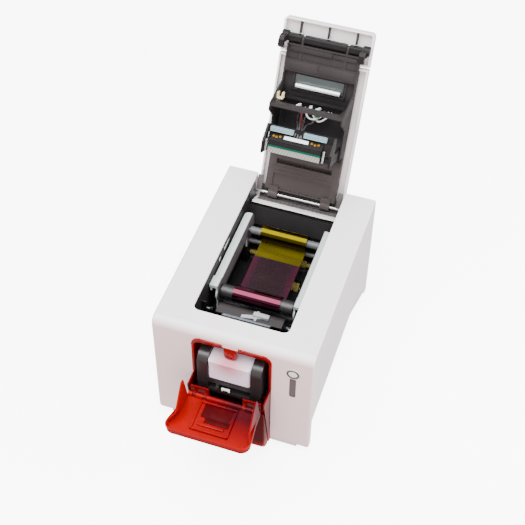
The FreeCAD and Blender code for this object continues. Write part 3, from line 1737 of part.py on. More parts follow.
def lid_frame():
    """Black inner frame of the lid: panel, side walls that dip to the print head, beam and knuckles."""
    frame = piece("lid_frame")
    outer = "inner_half_width"
    inner = "inner_half_width - inner_wall"
    panel_top = "panel_z + inner_panel"
    rear = "hinge_y - knuckle_radius - working_gap"
    wall = polygon(
        ("inner_front", "inner_low_z"),
        ("dip_front", "inner_low_z"),
        ("dip_start", "dip_z"),
        ("dip_end", "dip_z"),
        ("dip_rear", "dip_rear_z"),
        ("dip_rear_far", "dip_rear_z"),
        ("dip_rear_far", "inner_low_z"),
        (rear, "inner_low_z"),
        (rear, panel_top),
        ("inner_front", panel_top),
    )
    made = pad(frame, "YZ", inner, outer, wall)
    mirror(frame, made)
    across = (f"-({inner}) - overrun", f"{inner} + overrun")
    deep = "panel_z + well_rise"
    panel = polygon(
        ("inner_front", "panel_z"),
        ("well_front", "panel_z"),
        ("well_front", deep),
        ("well_rear", deep),
        ("well_rear", "panel_z"),
        (rear, "panel_z"),
        (rear, panel_top),
        ("well_rear + inner_panel", panel_top),
        ("well_rear + inner_panel", f"{deep} + inner_panel"),
        ("well_front - inner_panel", f"{deep} + inner_panel"),
        ("well_front - inner_panel", panel_top),
        ("inner_front", panel_top),
    )
    pad(frame, "YZ", *across, panel)
    step = polygon(
        ("inner_front", "inner_low_z"),
        ("inner_front + step_length", "inner_low_z"),
        ("inner_front + step_length", "panel_z + inner_panel / 2"),
        ("inner_front", "panel_z + inner_panel / 2"),
    )
    pad(frame, "YZ", *across, step)
    nose_front = "latch_y + bar_depth / 2 + nose_gap"
    nose_low = "inner_low_z + nose_lift"
    nose_top = f"{nose_low} + inner_panel"
    nose = polygon(
        (nose_front, "inner_low_z"),
        (f"{nose_front} + inner_wall", "inner_low_z"),
        (f"{nose_front} + inner_wall", nose_low),
        ("inner_front + overrun", nose_low),
        ("inner_front + overrun", nose_top),
        (nose_front, nose_top),
    )
    pad(frame, "YZ", *across, nose)
    cheek = rectangle(nose_front, "inner_front + overrun", "inner_low_z", nose_top)
    cheeks = pad(frame, "YZ", inner, outer, cheek)
    mirror(frame, cheeks)
    beam = rectangle("dip_start", "dip_start + beam_depth", "dip_z", panel_top)
    pad(frame, "YZ", *across, beam)
    window = rectangle(
        f"-({inner}) + window_margin",
        f"{inner} - window_margin",
        "dip_z + beam_height",
        "panel_z - window_margin",
    )
    pocket(frame, "XZ", "dip_start - overrun", "dip_start + beam_depth + overrun", window)
    block = rectangle("well_rear", rear, "inner_low_z", "panel_z + inner_panel / 2")
    pad(frame, "YZ", *across, block)
    slot_rear = "slot_front + slot_length"
    slot = rectangle("-slot_half", "slot_half", "slot_front", slot_rear)
    pocket(frame, "XY", "inner_low_z - overrun", "panel_z - overrun", slot)
    recess = rectangle(
        "-slot_half - inner_wall",
        "slot_half + inner_wall",
        f"{slot_rear} + recess_gap",
        f"{rear} - inner_wall",
    )
    pocket(frame, "XY", "inner_low_z - overrun", "inner_low_z + recess_depth", recess)
    trim = rectangle(
        "-half_lid + lid_wall + seat_gap",
        "half_lid - lid_wall - seat_gap",
        f"{rear} - overrun",
        "rear_y - lid_wall - seat_gap",
    )
    pad(frame, "XY", "panel_z", panel_top, trim)
    near = "knuckle_side - knuckle_width / 2"
    far = "knuckle_side + knuckle_width / 2"
    arm = rectangle(
        f"{rear} - knuckle_radius", "hinge_y", "hinge_z - knuckle_radius / 2", "hinge_z + knuckle_radius"
    )
    joined = pad(frame, "YZ", near, far, arm)
    barrel = pad(frame, "YZ", near, far, disc("hinge_y", "hinge_z", "knuckle_radius"))
    mirror(frame, joined, barrel)
    bore = disc("hinge_y", "hinge_z", "rod_radius + bearing_gap")
    pocket(frame, "YZ", f"-({outer}) - overrun", f"{outer} + overrun", bore)
    latch_arm = rectangle("latch_y", "inner_front + overrun", "latch_z - latch_eye", "latch_z")
    arm_far = "latch_arm_side + latch_arm_width"
    latch_arms = pad(frame, "YZ", "latch_arm_side", arm_far, latch_arm)
    eye = disc("latch_y", "latch_z", "latch_eye")
    latch_eyes = pad(frame, "YZ", "latch_arm_side", arm_far, eye)
    mirror(frame, latch_arms, latch_eyes)
    pin = disc("latch_y", "latch_z", "latch_pin_radius + bearing_gap")
    pocket(frame, "YZ", f"-({outer}) - overrun", f"{outer} + overrun", pin)
    head_pin = disc("arm_pivot_y", "arm_pivot_z", "arm_pin_radius")
    made = pad(frame, "YZ", "arm_half_span - arm_thickness", f"{inner} + overrun", head_pin)
    mirror(frame, made)
    bosses = [
        disc(f"{x}boss_side", y, "post_radius")
        for x in ("-", "")
        for y in ("inner_front + step_length / 2", "slot_front + slot_length * 2")
    ]
    pad(frame, "XY", panel_top, "lid_under - fit_gap", *bosses)
    open_lid(frame)


def ribbon_guides():
    """Satin steel plate under the lid frame's panel, with a bright guide bar on two feet behind it."""
    guides = piece("ribbon_guides")
    top = "panel_z - fit_gap"
    outline = rectangle("-plate_half_width", "plate_half_width", "plate_front", "plate_rear")
    pad(guides, "XY", f"{top} - plate_thickness", top, outline)
    y = "plate_rear - guide_bar_radius"
    z = "panel_z - guide_bar_drop"
    end = "guide_bar_half_length"
    pad(guides, "YZ", f"-{end}", end, disc(y, z, "guide_bar_radius"))
    foot = rectangle(f"{y} - guide_bar_radius / 2", f"{y} + guide_bar_radius / 2", z, top)
    made = pad(guides, "YZ", f"{end} - guide_foot", end, foot)
    mirror(guides, made)
    open_lid(guides)


def wire_clip():
    """Cream clip that holds the head's wires to the lid frame's side wall."""
    clip = piece("wire_clip")
    y = "dip_start - clip_size - fit_gap"
    x = "inner_half_width - inner_wall - fit_gap"
    block = rectangle(f"-({x})", f"-({x}) + clip_size", y, f"{y} + clip_size")
    low = "clip_z"
    pad(clip, "XY", low, f"{low} + clip_size", block)
    slot = rectangle(
        f"-({x}) + clip_wall",
        f"-({x}) + clip_size - clip_wall",
        f"{y} - overrun",
        f"{y} + clip_size - clip_wall",
    )
    pocket(clip, "XY", f"{low} - overrun", f"{low} + clip_size + overrun", slot)
    open_lid(clip)


def release_flap():
    """White front end of the lid, which is lifted to free the hooks. Three ribs stiffen it inside."""
    flap = piece("release_flap")
    rounds = {0: "flap_round", 1: "flap_round"}
    outline = rectangle("-half_lid", "half_lid", "lid_front_y", "flap_rear_y", rounds=rounds)
    pad(flap, "XY", "rim_z", "top_z", outline)
    side = "half_lid - lid_wall"
    inner_rounds = {0: "flap_round - lid_wall", 1: "flap_round - lid_wall"}
    hollow = rectangle(
        f"-({side})", side, "lid_front_y + lid_wall", "flap_rear_y - lid_wall", rounds=inner_rounds
    )
    pocket(flap, "XY", "rim_z - overrun", "lid_under", hollow)
    ribs = [
        rectangle(
            f"{x} - flap_rib / 2",
            f"{x} + flap_rib / 2",
            "lid_front_y + lid_wall / 2",
            "lid_front_y + flap_rib_length",
        )
        for x in ("-flap_rib_side", "0", "flap_rib_side")
    ]
    pad(flap, "XY", "lid_under - flap_rib_depth", "lid_under + lid_wall / 2", *ribs)
    round_edges(flap, "lid_edge_round", lambda e: lies(e, z="top_z") and not lies(e, y="flap_rear_y"))
    open_lid(flap)


def latch_bar():
    """Black bar across the release flap, with a hook at each end and a pivot pin."""
    bar = piece("latch_bar")
    half = "bar_half_length"
    low = "latch_z - bar_height / 2"
    high = "latch_z + bar_height / 2"
    beam = rectangle(
        "latch_y - bar_depth / 2",
        "latch_y + bar_depth / 2",
        low,
        high,
        rounds={0: "bar_round", 1: "bar_round"},
    )
    pad(bar, "YZ", f"-{half}", half, beam)
    back = "latch_y - hook_width / 2"
    tip_low = "latch_z - hook_drop"
    hook = polygon(
        (back, high),
        (back, f"{tip_low} + hook_tip_height / 2"),
        (f"{back} + hook_width / 2", tip_low),
        (f"{back} + hook_width + hook_nose / 2", tip_low),
        (f"{back} + hook_width + hook_nose", f"{tip_low} + hook_tip_height"),
        (f"{back} + hook_width", f"{tip_low} + hook_tip_height"),
        (f"{back} + hook_width", high),
    )
    made = pad(bar, "YZ", f"{half} - overrun", f"{half} + hook_thickness", hook)
    mirror(bar, made)
    feet = [
        rectangle(
            f"{x} - foot_width / 2",
            f"{x} + foot_width / 2",
            "latch_y - bar_depth / 2 + bar_round",
            "latch_y + bar_depth / 2",
        )
        for x in ("-latch_foot_side", "latch_foot_side")
    ]
    pad(bar, "XY", f"{high} - overrun", "lid_under - fit_gap", *feet)
    slot_near = "latch_arm_side - fit_gap"
    slot_far = "latch_arm_side + latch_arm_width + fit_gap"
    slot = rectangle(
        "latch_y - bar_depth", "latch_y + bar_depth", f"{low} - overrun", f"{high} + overrun"
    )
    cut = pocket(bar, "YZ", slot_near, slot_far, slot)
    mirror(bar, cut)
    pin = disc("latch_y", "latch_z", "latch_pin_radius")
    bolt = pad(bar, "YZ", f"{slot_near} - overrun", f"{slot_far} + overrun", pin)
    mirror(bar, bolt)
    open_lid(bar)


def head_carriage():
    """Black carriage of the print head: block, front wing and two arms that hang from the pivots."""
    carriage = piece("head_carriage")
    left = "head_offset - head_half_width"
    right = "head_offset + head_half_width"
    top = "head_top"
    wing_top = f"{top} + wing_rise"
    low = "head_face + fit_gap"
    block = polygon(
        ("head_rear - ceramic_depth - board_depth", low),
        ("head_rear", low),
        ("head_rear", top),
        ("head_rear - ceramic_depth - board_depth", wing_top),
        ("head_block_front", wing_top),
    )
    pad(carriage, "YZ", left, right, block)
    wing = rectangle(
        "sink_front", "head_block_front + wing_overlap", f"{wing_top} - wing_thickness", wing_top
    )
    arm_inner = "arm_half_span - arm_thickness"
    pad(carriage, "YZ", f"-({arm_inner}) - overrun", f"{arm_inner} + overrun", wing)
    bridge = rectangle("head_rear - bridge_depth", "head_rear", f"{low} + bridge_lift", top)
    pad(carriage, "YZ", f"-({arm_inner}) - overrun", f"{arm_inner} + overrun", bridge)
    arm = polygon(
        ("sink_front", wing_top),
        ("sink_front", f"{wing_top} - wing_thickness"),
        ("head_rear - bridge_depth * 2", low),
        ("head_rear + arm_toe", low),
        ("head_rear + arm_toe", f"{low} + arm_toe"),
        ("arm_pivot_y + arm_width / 2", top),
        ("arm_pivot_y + arm_width / 2", "arm_pivot_z"),
        ("arm_pivot_y - arm_width / 2", "arm_pivot_z"),
        ("arm_pivot_y - arm_width / 2", wing_top),
    )
    bar = pad(carriage, "YZ", arm_inner, "arm_half_span", arm)
    eye = pad(carriage, "YZ", arm_inner, "arm_half_span", disc("arm_pivot_y", "arm_pivot_z", "arm_width / 2"))
    mirror(carriage, bar, eye)
    bore = disc("arm_pivot_y", "arm_pivot_z", "arm_pin_radius + bearing_gap")
    pocket(carriage, "YZ", "-arm_half_span - overrun", "arm_half_span + overrun", bore)
    open_lid(carriage)


def heat_sinks():
    """Two light metal heat sinks on the wing of the carriage, with fins along the head."""
    sinks = piece("heat_sinks")
    high = "head_top + wing_rise - wing_thickness - fit_gap"
    near = "head_block_front - sink_length - fit_gap"
    spans = [
        ("head_offset - sink_gap / 2 - sink_width", "head_offset - sink_gap / 2"),
        ("head_offset + sink_gap / 2", "head_offset + sink_gap / 2 + sink_width"),
    ]
    plates = [rectangle(a, b, near, f"{near} + sink_length") for a, b in spans]
    pad(sinks, "XY", f"{high} - sink_base", high, *plates)
    fins = [rectangle(a, b, near, f"{near} + sink_fin") for a, b in spans]
    row = pad(sinks, "XY", f"{high} - sink_thickness", f"{high} - sink_base", *fins)
    repeat(sinks, row, "Y", "sink_pitch", "sink_fins")
    open_lid(sinks)


def head_board():
    """Green circuit board of the print head."""
    board = piece("head_board")
    low = "head_face - board_thickness"
    outline = rectangle(
        "head_offset - head_half_width",
        "head_offset + head_half_width",
        "head_rear - ceramic_depth - board_depth",
        "head_rear - ceramic_depth - fit_gap",
    )
    pad(board, "XY", low, f"{low} + board_thickness", outline)
    open_lid(board)


def head_ceramic():
    """Light ceramic strip of the print head, with the raised bead of the heating line."""
    strip = piece("head_ceramic")
    low = "head_low"
    left = "head_offset - head_half_width"
    right = "head_offset + head_half_width"
    outline = rectangle(left, right, "head_rear - ceramic_depth", "head_rear")
    pad(strip, "XY", f"{low} + bead_height", f"{low} + ceramic_thickness", outline)
    bead = rectangle(left, right, "print_y - bead_height", "print_y + bead_height")
    pad(strip, "XY", low, f"{low} + bead_height", bead)
    open_lid(strip)


def cartridge_frame():
    """Light blue-grey frame of the ribbon cartridge: two rails with legs, ears and two tie bars."""
    frame = piece("cartridge_frame")
    wall_outer = "rail_inner + rail_wall"
    side = [
        rectangle("rail_front", "rail_rear", "rail_top - rail_depth", "rail_top", {2: "rail_round"}),
        rectangle("rail_front", "rail_front + rail_leg_width", "rail_top - rail_leg", "rail_top"),
        rectangle(
            "supply_y - rail_leg_width / 2",
            "supply_y + rail_leg_width / 2",
            "rail_top - rail_leg",
            "rail_top - rail_flange",
        ),
        disc("takeup_y", "spool_z", "ear_radius"),
        disc("supply_y", "spool_z", "ear_radius"),
    ]
    made = [pad(frame, "YZ", "rail_inner", wall_outer, outline) for outline in side]
    flange = rectangle(
        "rail_inner", "rail_outer", "rail_front", "rail_rear - rail_round / 2", {2: "rail_round / 2"}
    )
    made.append(pad(frame, "XY", "rail_top - rail_flange", "rail_top", flange))
    lip = rectangle("rail_outer - rail_lip", "rail_outer", "rail_front", "rail_rear - rail_round")
    made.append(pad(frame, "XY", "rail_top - rail_lip_depth", "rail_top", lip))
    cap = rectangle(
        "rail_inner", "rail_outer + rail_lip / 2", "rail_front", "rail_front + rail_leg_width"
    )
    made.append(pad(frame, "XY", "rail_top - rail_flange", "rail_top + rail_step", cap))
    mirror(frame, *made)
    ties = [
        disc("takeup_y + tie_back", "spool_z - tie_drop", "tie_radius"),
        disc("supply_y", "rail_top - rail_leg + tie_radius * 2", "tie_radius"),
    ]
    pad(frame, "YZ", f"-({wall_outer})", wall_outer, *ties)
    bores = [disc(y, "spool_z", "stub_radius + bearing_gap") for y in ("takeup_y", "supply_y")]
    pocket(frame, "YZ", f"-({wall_outer}) - overrun", f"{wall_outer} + overrun", *bores)


def ribbon_film():
    """The ribbon between the two spools."""
    film = piece("ribbon_film")
    outline = rectangle("-film_half_width", "film_half_width", "takeup_y", "supply_y")
    pad(film, "XY", "film_z", "film_z + film_thickness", outline)


def spool(name, y, core_radius):
    """Core of a spool with a stub at each end, and the film wound on it."""
    core = piece(f"{name}_core")
    half = "core_half_length"
    stub = "rail_inner + rail_wall - fit_gap"
    turn(
        core,
        [
            (f"-({stub})", f"-{half}", "stub_radius"),
            (f"-{half}", half, core_radius),
            (half, stub, "stub_radius"),
        ],
    )
    seat(core, y, "spool_z")
    roll = piece(f"{name}_roll")
    wound = [("-film_half_width", "film_half_width", "roll_radius")]
    turn(roll, wound, bore=f"{core_radius} + bearing_gap")
    seat(roll, y, "spool_z")


outer_cover()
base_tray()
base_screws()
rubber_feet()
side_frames()
bushings()
bay_liner()
hinge_trough()
hinge_rod()
transport_bed()
platen()
roller("front_feed_roller", "front_feed_y", "feed_z", "feed_radius", "roller_half_length", "feed_radius")
roller("rear_feed_roller", "rear_feed_y", "feed_z", "feed_radius", "roller_half_length", "feed_radius")
roller("front_pinch_roller", "front_feed_y", "pinch_z", "pinch_radius", "roller_half_length")
roller("rear_pinch_roller", "rear_feed_y", "pinch_z", "pinch_radius", "roller_half_length")
roller("pick_roller", "pick_y", "pick_z", "pick_radius", "pick_half_length")
roller("cleaning_roller", "cleaner_y", "cleaner_z", "cleaner_radius", "roller_half_length")
motor("transport_motor", 1, "motor_y", "motor_z", bored=True)
motor("ribbon_motor", -1, "ribbon_motor_y", "ribbon_motor_z", bored=False)
motor_rotor("motor_pulley", "motor_y", "motor_z")
drive_belt()
card_feeder()
blank_cards()
gauge_lever()
feeder_roof()
feeder_hood()
guide_clip()
front_surround()
output_hopper()
door_pins()
feeder_door()
control_button()
status_window()
status_board()
rear_panel()
main_board()
socket("usb_socket", "usb_x", "usb_width", "usb_height", "usb_depth")
socket("network_socket", "net_x", "net_width", "net_height", "net_depth")
power_inlet()
switch_housing()
power_rocker()
lid_catches()
lid_cover()
lid_frame()
ribbon_guides()
wire_clip()
release_flap()
latch_bar()
head_carriage()
heat_sinks()
head_board()
head_ceramic()
cartridge_frame()
ribbon_film()
spool("supply", "supply_y", "core_radius")
spool("takeup", "takeup_y", "dark_core_radius")

doc.recompute()
os.makedirs("parts", exist_ok=True)
for thing in doc.Objects:
    if "Invalid" in thing.State or "Error" in thing.State:
        raise RuntimeError(f"{thing.Label} is {thing.State}")
for made in pieces:
    shape = made.Shape
    if shape.isNull() or not shape.isValid():
        raise RuntimeError(f"{made.Label} has no valid shape")
    shape.exportStep(f"parts/{made.Label}.step")
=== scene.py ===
import json
import math
import random

import bmesh
import bpy
from mathutils import Matrix, Vector


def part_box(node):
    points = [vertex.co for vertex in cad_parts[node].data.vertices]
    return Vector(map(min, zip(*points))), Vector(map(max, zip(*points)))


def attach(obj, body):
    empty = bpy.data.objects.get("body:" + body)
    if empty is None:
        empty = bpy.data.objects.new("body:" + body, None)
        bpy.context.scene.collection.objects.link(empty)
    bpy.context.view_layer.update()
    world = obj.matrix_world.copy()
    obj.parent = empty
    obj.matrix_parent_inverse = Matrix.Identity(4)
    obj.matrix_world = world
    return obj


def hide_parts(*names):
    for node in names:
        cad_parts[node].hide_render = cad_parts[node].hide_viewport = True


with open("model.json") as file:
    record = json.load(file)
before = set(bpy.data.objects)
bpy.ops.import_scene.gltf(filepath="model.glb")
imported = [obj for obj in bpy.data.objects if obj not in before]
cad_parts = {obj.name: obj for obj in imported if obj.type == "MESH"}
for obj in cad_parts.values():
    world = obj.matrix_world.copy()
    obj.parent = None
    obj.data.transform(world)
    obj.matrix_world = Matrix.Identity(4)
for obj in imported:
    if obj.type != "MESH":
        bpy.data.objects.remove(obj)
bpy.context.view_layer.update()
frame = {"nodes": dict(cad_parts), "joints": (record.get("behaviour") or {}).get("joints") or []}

# The printer's frame: every other piece is carried by it.
# Two folded plates of galvanised sheet steel stand on a light grey tray of moulded ABS, which closes the
# cover from below. Four zinc-plated screws hold them, and four rubber feet are pressed into the tray.
nodes = frame["nodes"]
joints = {joint["name"]: joint for joint in frame["joints"]}
MM = 0.001
hinge = Vector(joints["lid_hinge"]["pos_m"])
lid_angle = -math.radians(joints["lid_hinge"]["range_deg"][1])
# The solids were drawn about the middle of the cover, and the hinge lay this far behind it.
HINGE_BACK = 128 * MM
to_middle = hinge.y - HINGE_BACK
# Edges that turn by more than this stay crisp.
SHARP = math.radians(35)


def linear(code):
    """An sRGB hex colour as linear red, green and blue, opaque."""
    parts = [int(code[i : i + 2], 16) / 255 for i in (1, 3, 5)]
    return (*[p / 12.92 if p <= 0.04045 else ((p + 0.055) / 1.055) ** 2.4 for p in parts], 1.0)


def add(tree, kind, inputs=None, **settings):
    """Add a shader node with its settings; each input is a value or another node's output."""
    made = tree.nodes.new("ShaderNode" + kind)
    for setting, value in settings.items():
        setattr(made, setting, value)
    for socket, value in (inputs or {}).items():
        if isinstance(value, bpy.types.NodeSocket):
            tree.links.new(value, made.inputs[socket])
        else:
            made.inputs[socket].default_value = value
    return made.outputs


def finish(name, values):
    """A new material with its shader's own values set. Gives the material, its nodes and its shader."""
    made = bpy.data.materials.new(name)
    made.use_nodes = True
    shader = made.node_tree.nodes["Principled BSDF"]
    for socket, value in values.items():
        shader.inputs[socket].default_value = value
    return made, made.node_tree, shader


def vary(tree, shader, light, dark, patch, rough, grain, depth, stretch=(1, 1, 1)):
    """Colour and roughness that drift over patches, and a fine grain in relief. Sizes are in mm."""
    place = add(tree, "TexCoord")["Object"]
    drawn = add(tree, "Mapping", {"Vector": place, "Scale": stretch})["Vector"]
    drift = add(tree, "TexNoise", {"Vector": drawn, "Scale": 1 / (patch * MM), "Detail": 4.0})
    shade = add(tree, "Mix", {0: drift["Fac"], 6: linear(light), 7: linear(dark)}, data_type="RGBA")[2]
    tree.links.new(shade, shader.inputs["Base Color"])
    gloss = add(tree, "MapRange", {"Value": drift["Fac"], "To Min": rough[0], "To Max": rough[1]})
    tree.links.new(gloss["Result"], shader.inputs["Roughness"])
    speck = add(tree, "TexNoise", {"Vector": drawn, "Scale": 1 / (grain * MM), "Detail": 2.0})
    relief = add(tree, "Bump", {"Height": speck["Fac"], "Strength": 0.6, "Distance": depth * MM})
    tree.links.new(relief["Normal"], shader.inputs["Normal"])
    return place


def dress(material, *names):
    """Give solids of the frame a finish."""
    for name in names:
        piece = nodes[name]
        piece.data.materials.clear()
        piece.data.materials.append(material)


def block(bm, low, high, bevel=0.0):
    """A bar between two corners in mm, with its edges rounded."""
    made = bmesh.ops.create_cube(bm, size=1)["verts"]
    size = Vector(high) - Vector(low)
    bmesh.ops.scale(bm, vec=size, verts=made)
    bmesh.ops.translate(bm, vec=(Vector(low) + Vector(high)) / 2, verts=made)
    if bevel:
        edges = list({edge for vert in made for edge in vert.link_edges})
        made = bmesh.ops.bevel(
            bm,
            geom=edges,
            offset=bevel,
            segments=2,
            profile=0.5,
            affect="EDGES",
            material=-1,
            clamp_overlap=True,
        )["verts"]
    return made


def post(bm, start, end, radius, sides):
    """A round bar from one point to another in mm."""
    start, end = Vector(start), Vector(end)
    made = bmesh.ops.create_cone(
        bm,
        cap_ends=True,
        segments=sides,
        radius1=radius,
        radius2=radius,
        depth=(end - start).length,
    )["verts"]
    turn = (end - start).to_track_quat("Z", "Y").to_matrix()
    bmesh.ops.rotate(bm, matrix=turn, verts=made)
    bmesh.ops.translate(bm, vec=(start + end) / 2, verts=made)
    return made


def settle(bm, name, material, body, on_lid=False):
    """Make a piece of a mesh drawn in mm about the cover, swung open with the lid where it is part of it."""
    bmesh.ops.scale(bm, vec=(MM, MM, MM), verts=bm.verts)
    bmesh.ops.translate(bm, vec=(0, to_middle, 0), verts=bm.verts)
    if on_lid:
        swing = Matrix.Rotation(lid_angle, 3, "X")
        bmesh.ops.rotate(bm, cent=hinge, matrix=swing, verts=bm.verts)
    bmesh.ops.recalc_face_normals(bm, faces=bm.faces)
    mesh = bpy.data.meshes.new(name)
    bm.to_mesh(mesh)
    bm.free()
    piece = bpy.data.objects.new(name, mesh)
    bpy.context.scene.collection.objects.link(piece)
    mesh.materials.append(material)
    mesh.shade_smooth()
    with bpy.context.temp_override(object=piece, active_object=piece, selected_editable_objects=[piece]):
        bpy.ops.object.shade_smooth_by_angle(angle=SHARP)
    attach(piece, body)
    return piece


galvanised, tree, shader = finish("galvanised_sheet_steel", {"Metallic": 1.0})
# Hot-dip zinc leaves flat crystals a few millimetres across, each with its own grey.
vary(tree, shader, "#B4B8BA", "#8C9194", 9, (0.32, 0.5), 0.6, 0.02)
dress(galvanised, "side_frames")

# Moulded ABS left as it comes from a blasted tool is matt, with an even grain.
tray_grey, tree, shader = finish("light_grey_abs_tray", {"Specular IOR Level": 0.4})
vary(tree, shader, "#D9D5D5", "#CFCBCB", 40, (0.5, 0.62), 0.7, 0.03)
dress(tray_grey, "base_tray")

# Rubber scatters what little light it returns, so it has no clear highlight.
soft_rubber, tree, shader = finish("black_rubber_feet", {"Specular IOR Level": 0.3})
vary(tree, shader, "#1E1D1E", "#151415", 6, (0.72, 0.85), 0.35, 0.03)
dress(soft_rubber, "rubber_feet")

# Bright zinc plate clouds over unevenly as it ages.
zinc, tree, shader = finish("zinc_plated_screws", {"Metallic": 1.0})
vary(tree, shader, "#C3C5C4", "#9DA0A1", 3, (0.25, 0.4), 0.3, 0.01)
dress(zinc, "base_screws")

# Bushings in the side frames.
# Oil-filled sintered bronze, pressed into the steel. The metal is matt and faintly porous.
bronze, tree, shader = finish("sintered_bronze", {"Metallic": 1.0})
vary(tree, shader, "#A98A5C", "#84683F", 4, (0.42, 0.58), 0.25, 0.02)
dress(bronze, "bushings")

# Rollers of the card path, with the shafts and pins that are turned from the same steel.
# Ground steel shafts carry rubber sleeves. Those of the platen and the rear pinch roller are soft and tan,
# and the ones that feed are harder and black.
ground_steel, tree, shader = finish("ground_steel", {"Metallic": 1.0})
# Turned steel keeps fine rings round its axis, so its pattern is short along X and long round it.
vary(tree, shader, "#D0D2D3", "#A9ACAE", 6, (0.16, 0.3), 0.5, 0.006, stretch=(6, 1, 1))
dress(ground_steel, "hinge_rod", "platen_shaft", "door_pins", "motor_pulley")

# The sleeves are ground to size, which leaves the rubber dull and faintly ringed.
platen_rubber, tree, shader = finish("tan_platen_rubber", {"Specular IOR Level": 0.35})
vary(tree, shader, "#8F8240", "#786C30", 8, (0.6, 0.7), 0.3, 0.02)
dress(platen_rubber, "platen_sleeve", "rear_pinch_roller")

feed_rubber, tree, shader = finish("black_feed_rubber", {"Specular IOR Level": 0.35})
vary(tree, shader, "#2D2C2E", "#222123", 8, (0.55, 0.68), 0.3, 0.02)
dress(feed_rubber, "front_feed_roller", "rear_feed_roller", "front_pinch_roller", "pick_roller")

# A sticky elastomer looks wet: a clear coat over a soft blue-grey body.
cleaning_gum, tree, shader = finish("tacky_cleaning_sleeve", {"Coat Weight": 0.4, "Coat Roughness": 0.2})
vary(tree, shader, "#3D4A55", "#303A44", 8, (0.3, 0.42), 0.4, 0.01)
dress(cleaning_gum, "cleaning_roller")

# Motors and belt.
# Two stepper motors with black-painted laminated bodies, and a moulded toothed belt of black neoprene.
motor_paint, tree, shader = finish("black_motor_paint", {"Metallic": 0.2})
vary(tree, shader, "#2A2A2C", "#1E1E20", 10, (0.35, 0.5), 0.5, 0.02)
dress(motor_paint, "transport_motor", "ribbon_motor")

neoprene, tree, shader = finish("neoprene_belt", {"Specular IOR Level": 0.3})
vary(tree, shader, "#232324", "#191919", 5, (0.6, 0.75), 0.4, 0.02)
dress(neoprene, "drive_belt")

# Boards and sockets at the rear.
# Glass-epoxy boards under green solder mask with copper tracks below it, and plated steel sockets.
MASK = ("#1B5E3D", "#237A50")
solder_mask, tree, shader = finish("green_solder_mask", {"Coat Weight": 0.5, "Coat Roughness": 0.12})
place = vary(tree, shader, *MASK, 4, (0.3, 0.42), 0.8, 0.02)
# Copper tracks show as lighter lines through the mask. A cell of the pattern is two bricks long and four
# rows high, so the lines lie 4 mm and 2 mm apart, coarser than on a real board.
CELL = 8 * MM
tracks = add(
    tree,
    "TexBrick",
    {
        "Vector": place,
        "Color1": linear(MASK[0]),
        "Color2": linear(MASK[1]),
        "Mortar": linear("#2F8F61"),
        "Scale": 1 / CELL,
        "Mortar Size": 0.06,
    },
)["Color"]
tree.links.new(tracks, shader.inputs["Base Color"])
dress(solder_mask, "main_board", "status_board")

# Nickel plate is a little yellower and darker than chrome, and stays bright.
nickel, tree, shader = finish("nickel_plated_socket", {"Metallic": 1.0})
vary(tree, shader, "#CFCFCC", "#B4B4B2", 5, (0.18, 0.3), 0.4, 0.008)
dress(nickel, "usb_socket", "network_socket")

# Flame-retardant nylon is a warm black with a low sheen.
inlet_black, tree, shader = finish("black_nylon_fittings", {"Specular IOR Level": 0.45})
vary(tree, shader, "#242325", "#1A191B", 8, (0.38, 0.5), 0.4, 0.02)
dress(inlet_black, "power_inlet", "switch_housing", "power_rocker")

# Bed, liner and hinge trough: the dark walls of the ribbon bay.
# Black ABS mouldings with a fine spark-eroded texture, clipped between the side frames.
bay_black, tree, shader = finish("textured_bay_abs", {"Specular IOR Level": 0.16})
vary(tree, shader, "#1B191A", "#131112", 25, (0.45, 0.6), 0.6, 0.04)
dress(bay_black, "bay_liner", "hinge_trough", "transport_bed")

# The catches are bent from blued spring wire, which is dark with a narrow shine.
spring_steel, tree, shader = finish("spring_steel_catches", {"Metallic": 1.0})
vary(tree, shader, "#6E6E70", "#4C4C4E", 4, (0.35, 0.5), 0.3, 0.01)
dress(spring_steel, "lid_catches")

# Outer cover, rear panel and the lid's two white shells.
# White ABS mouldings, satin, with the faint even grain that the polished and blasted moulds leave.


def tint(tree, shader, share, tone):
    """Lay a tone over the colour that the shader has so far, by a share from 0 to 1."""
    under = shader.inputs["Base Color"].links[0].from_socket
    over = add(tree, "Mix", {0: share, 6: under, 7: tone}, data_type="RGBA")[2]
    tree.links.new(over, shader.inputs["Base Color"])


white_shell, tree, shader = finish("white_satin_abs", {"Coat Weight": 0.15, "Coat Roughness": 0.25})
place = vary(tree, shader, "#E9E6E6", "#E4E0E0", 60, (0.36, 0.46), 0.7, 0.012)
# The front is painted a rosier white than the sides and the lid: painted light, the warm light that falls on
# the front face.
FRONT = to_middle - 140 * MM
EDGE = 4 * MM
depth = add(tree, "SeparateXYZ", {"Vector": place})["Y"]
painted_rosy_front = add(tree, "MapRange", {"Value": depth, "From Min": FRONT + EDGE, "From Max": FRONT})["Result"]
tint(tree, shader, painted_rosy_front, linear("#EACFD0"))
dress(white_shell, "outer_cover", "rear_panel", "lid_cover", "release_flap")

# Front module: surround, output hopper and feeder door.
# Clear red polycarbonate, injection moulded and polished, so light passes through and its edges glow.
clear_red, tree, shader = finish(
    "clear_red_polycarbonate",
    {"IOR": 1.49, "Specular IOR Level": 0.22, "Transmission Weight": 0.1},
)
vary(tree, shader, "#8C0A0A", "#740809", 40, (0.1, 0.18), 3.0, 0.01)
dress(clear_red, "front_surround")

# The hopper's thick walls pass less light than the surround's, so it looks deeper and duller.
hopper_red, tree, shader = finish(
    "deep_red_polycarbonate",
    {"IOR": 1.49, "Specular IOR Level": 0.04, "Transmission Weight": 0.03},
)
place = vary(tree, shader, "#6A0A0E", "#52080C", 40, (0.12, 0.2), 3.0, 0.01)
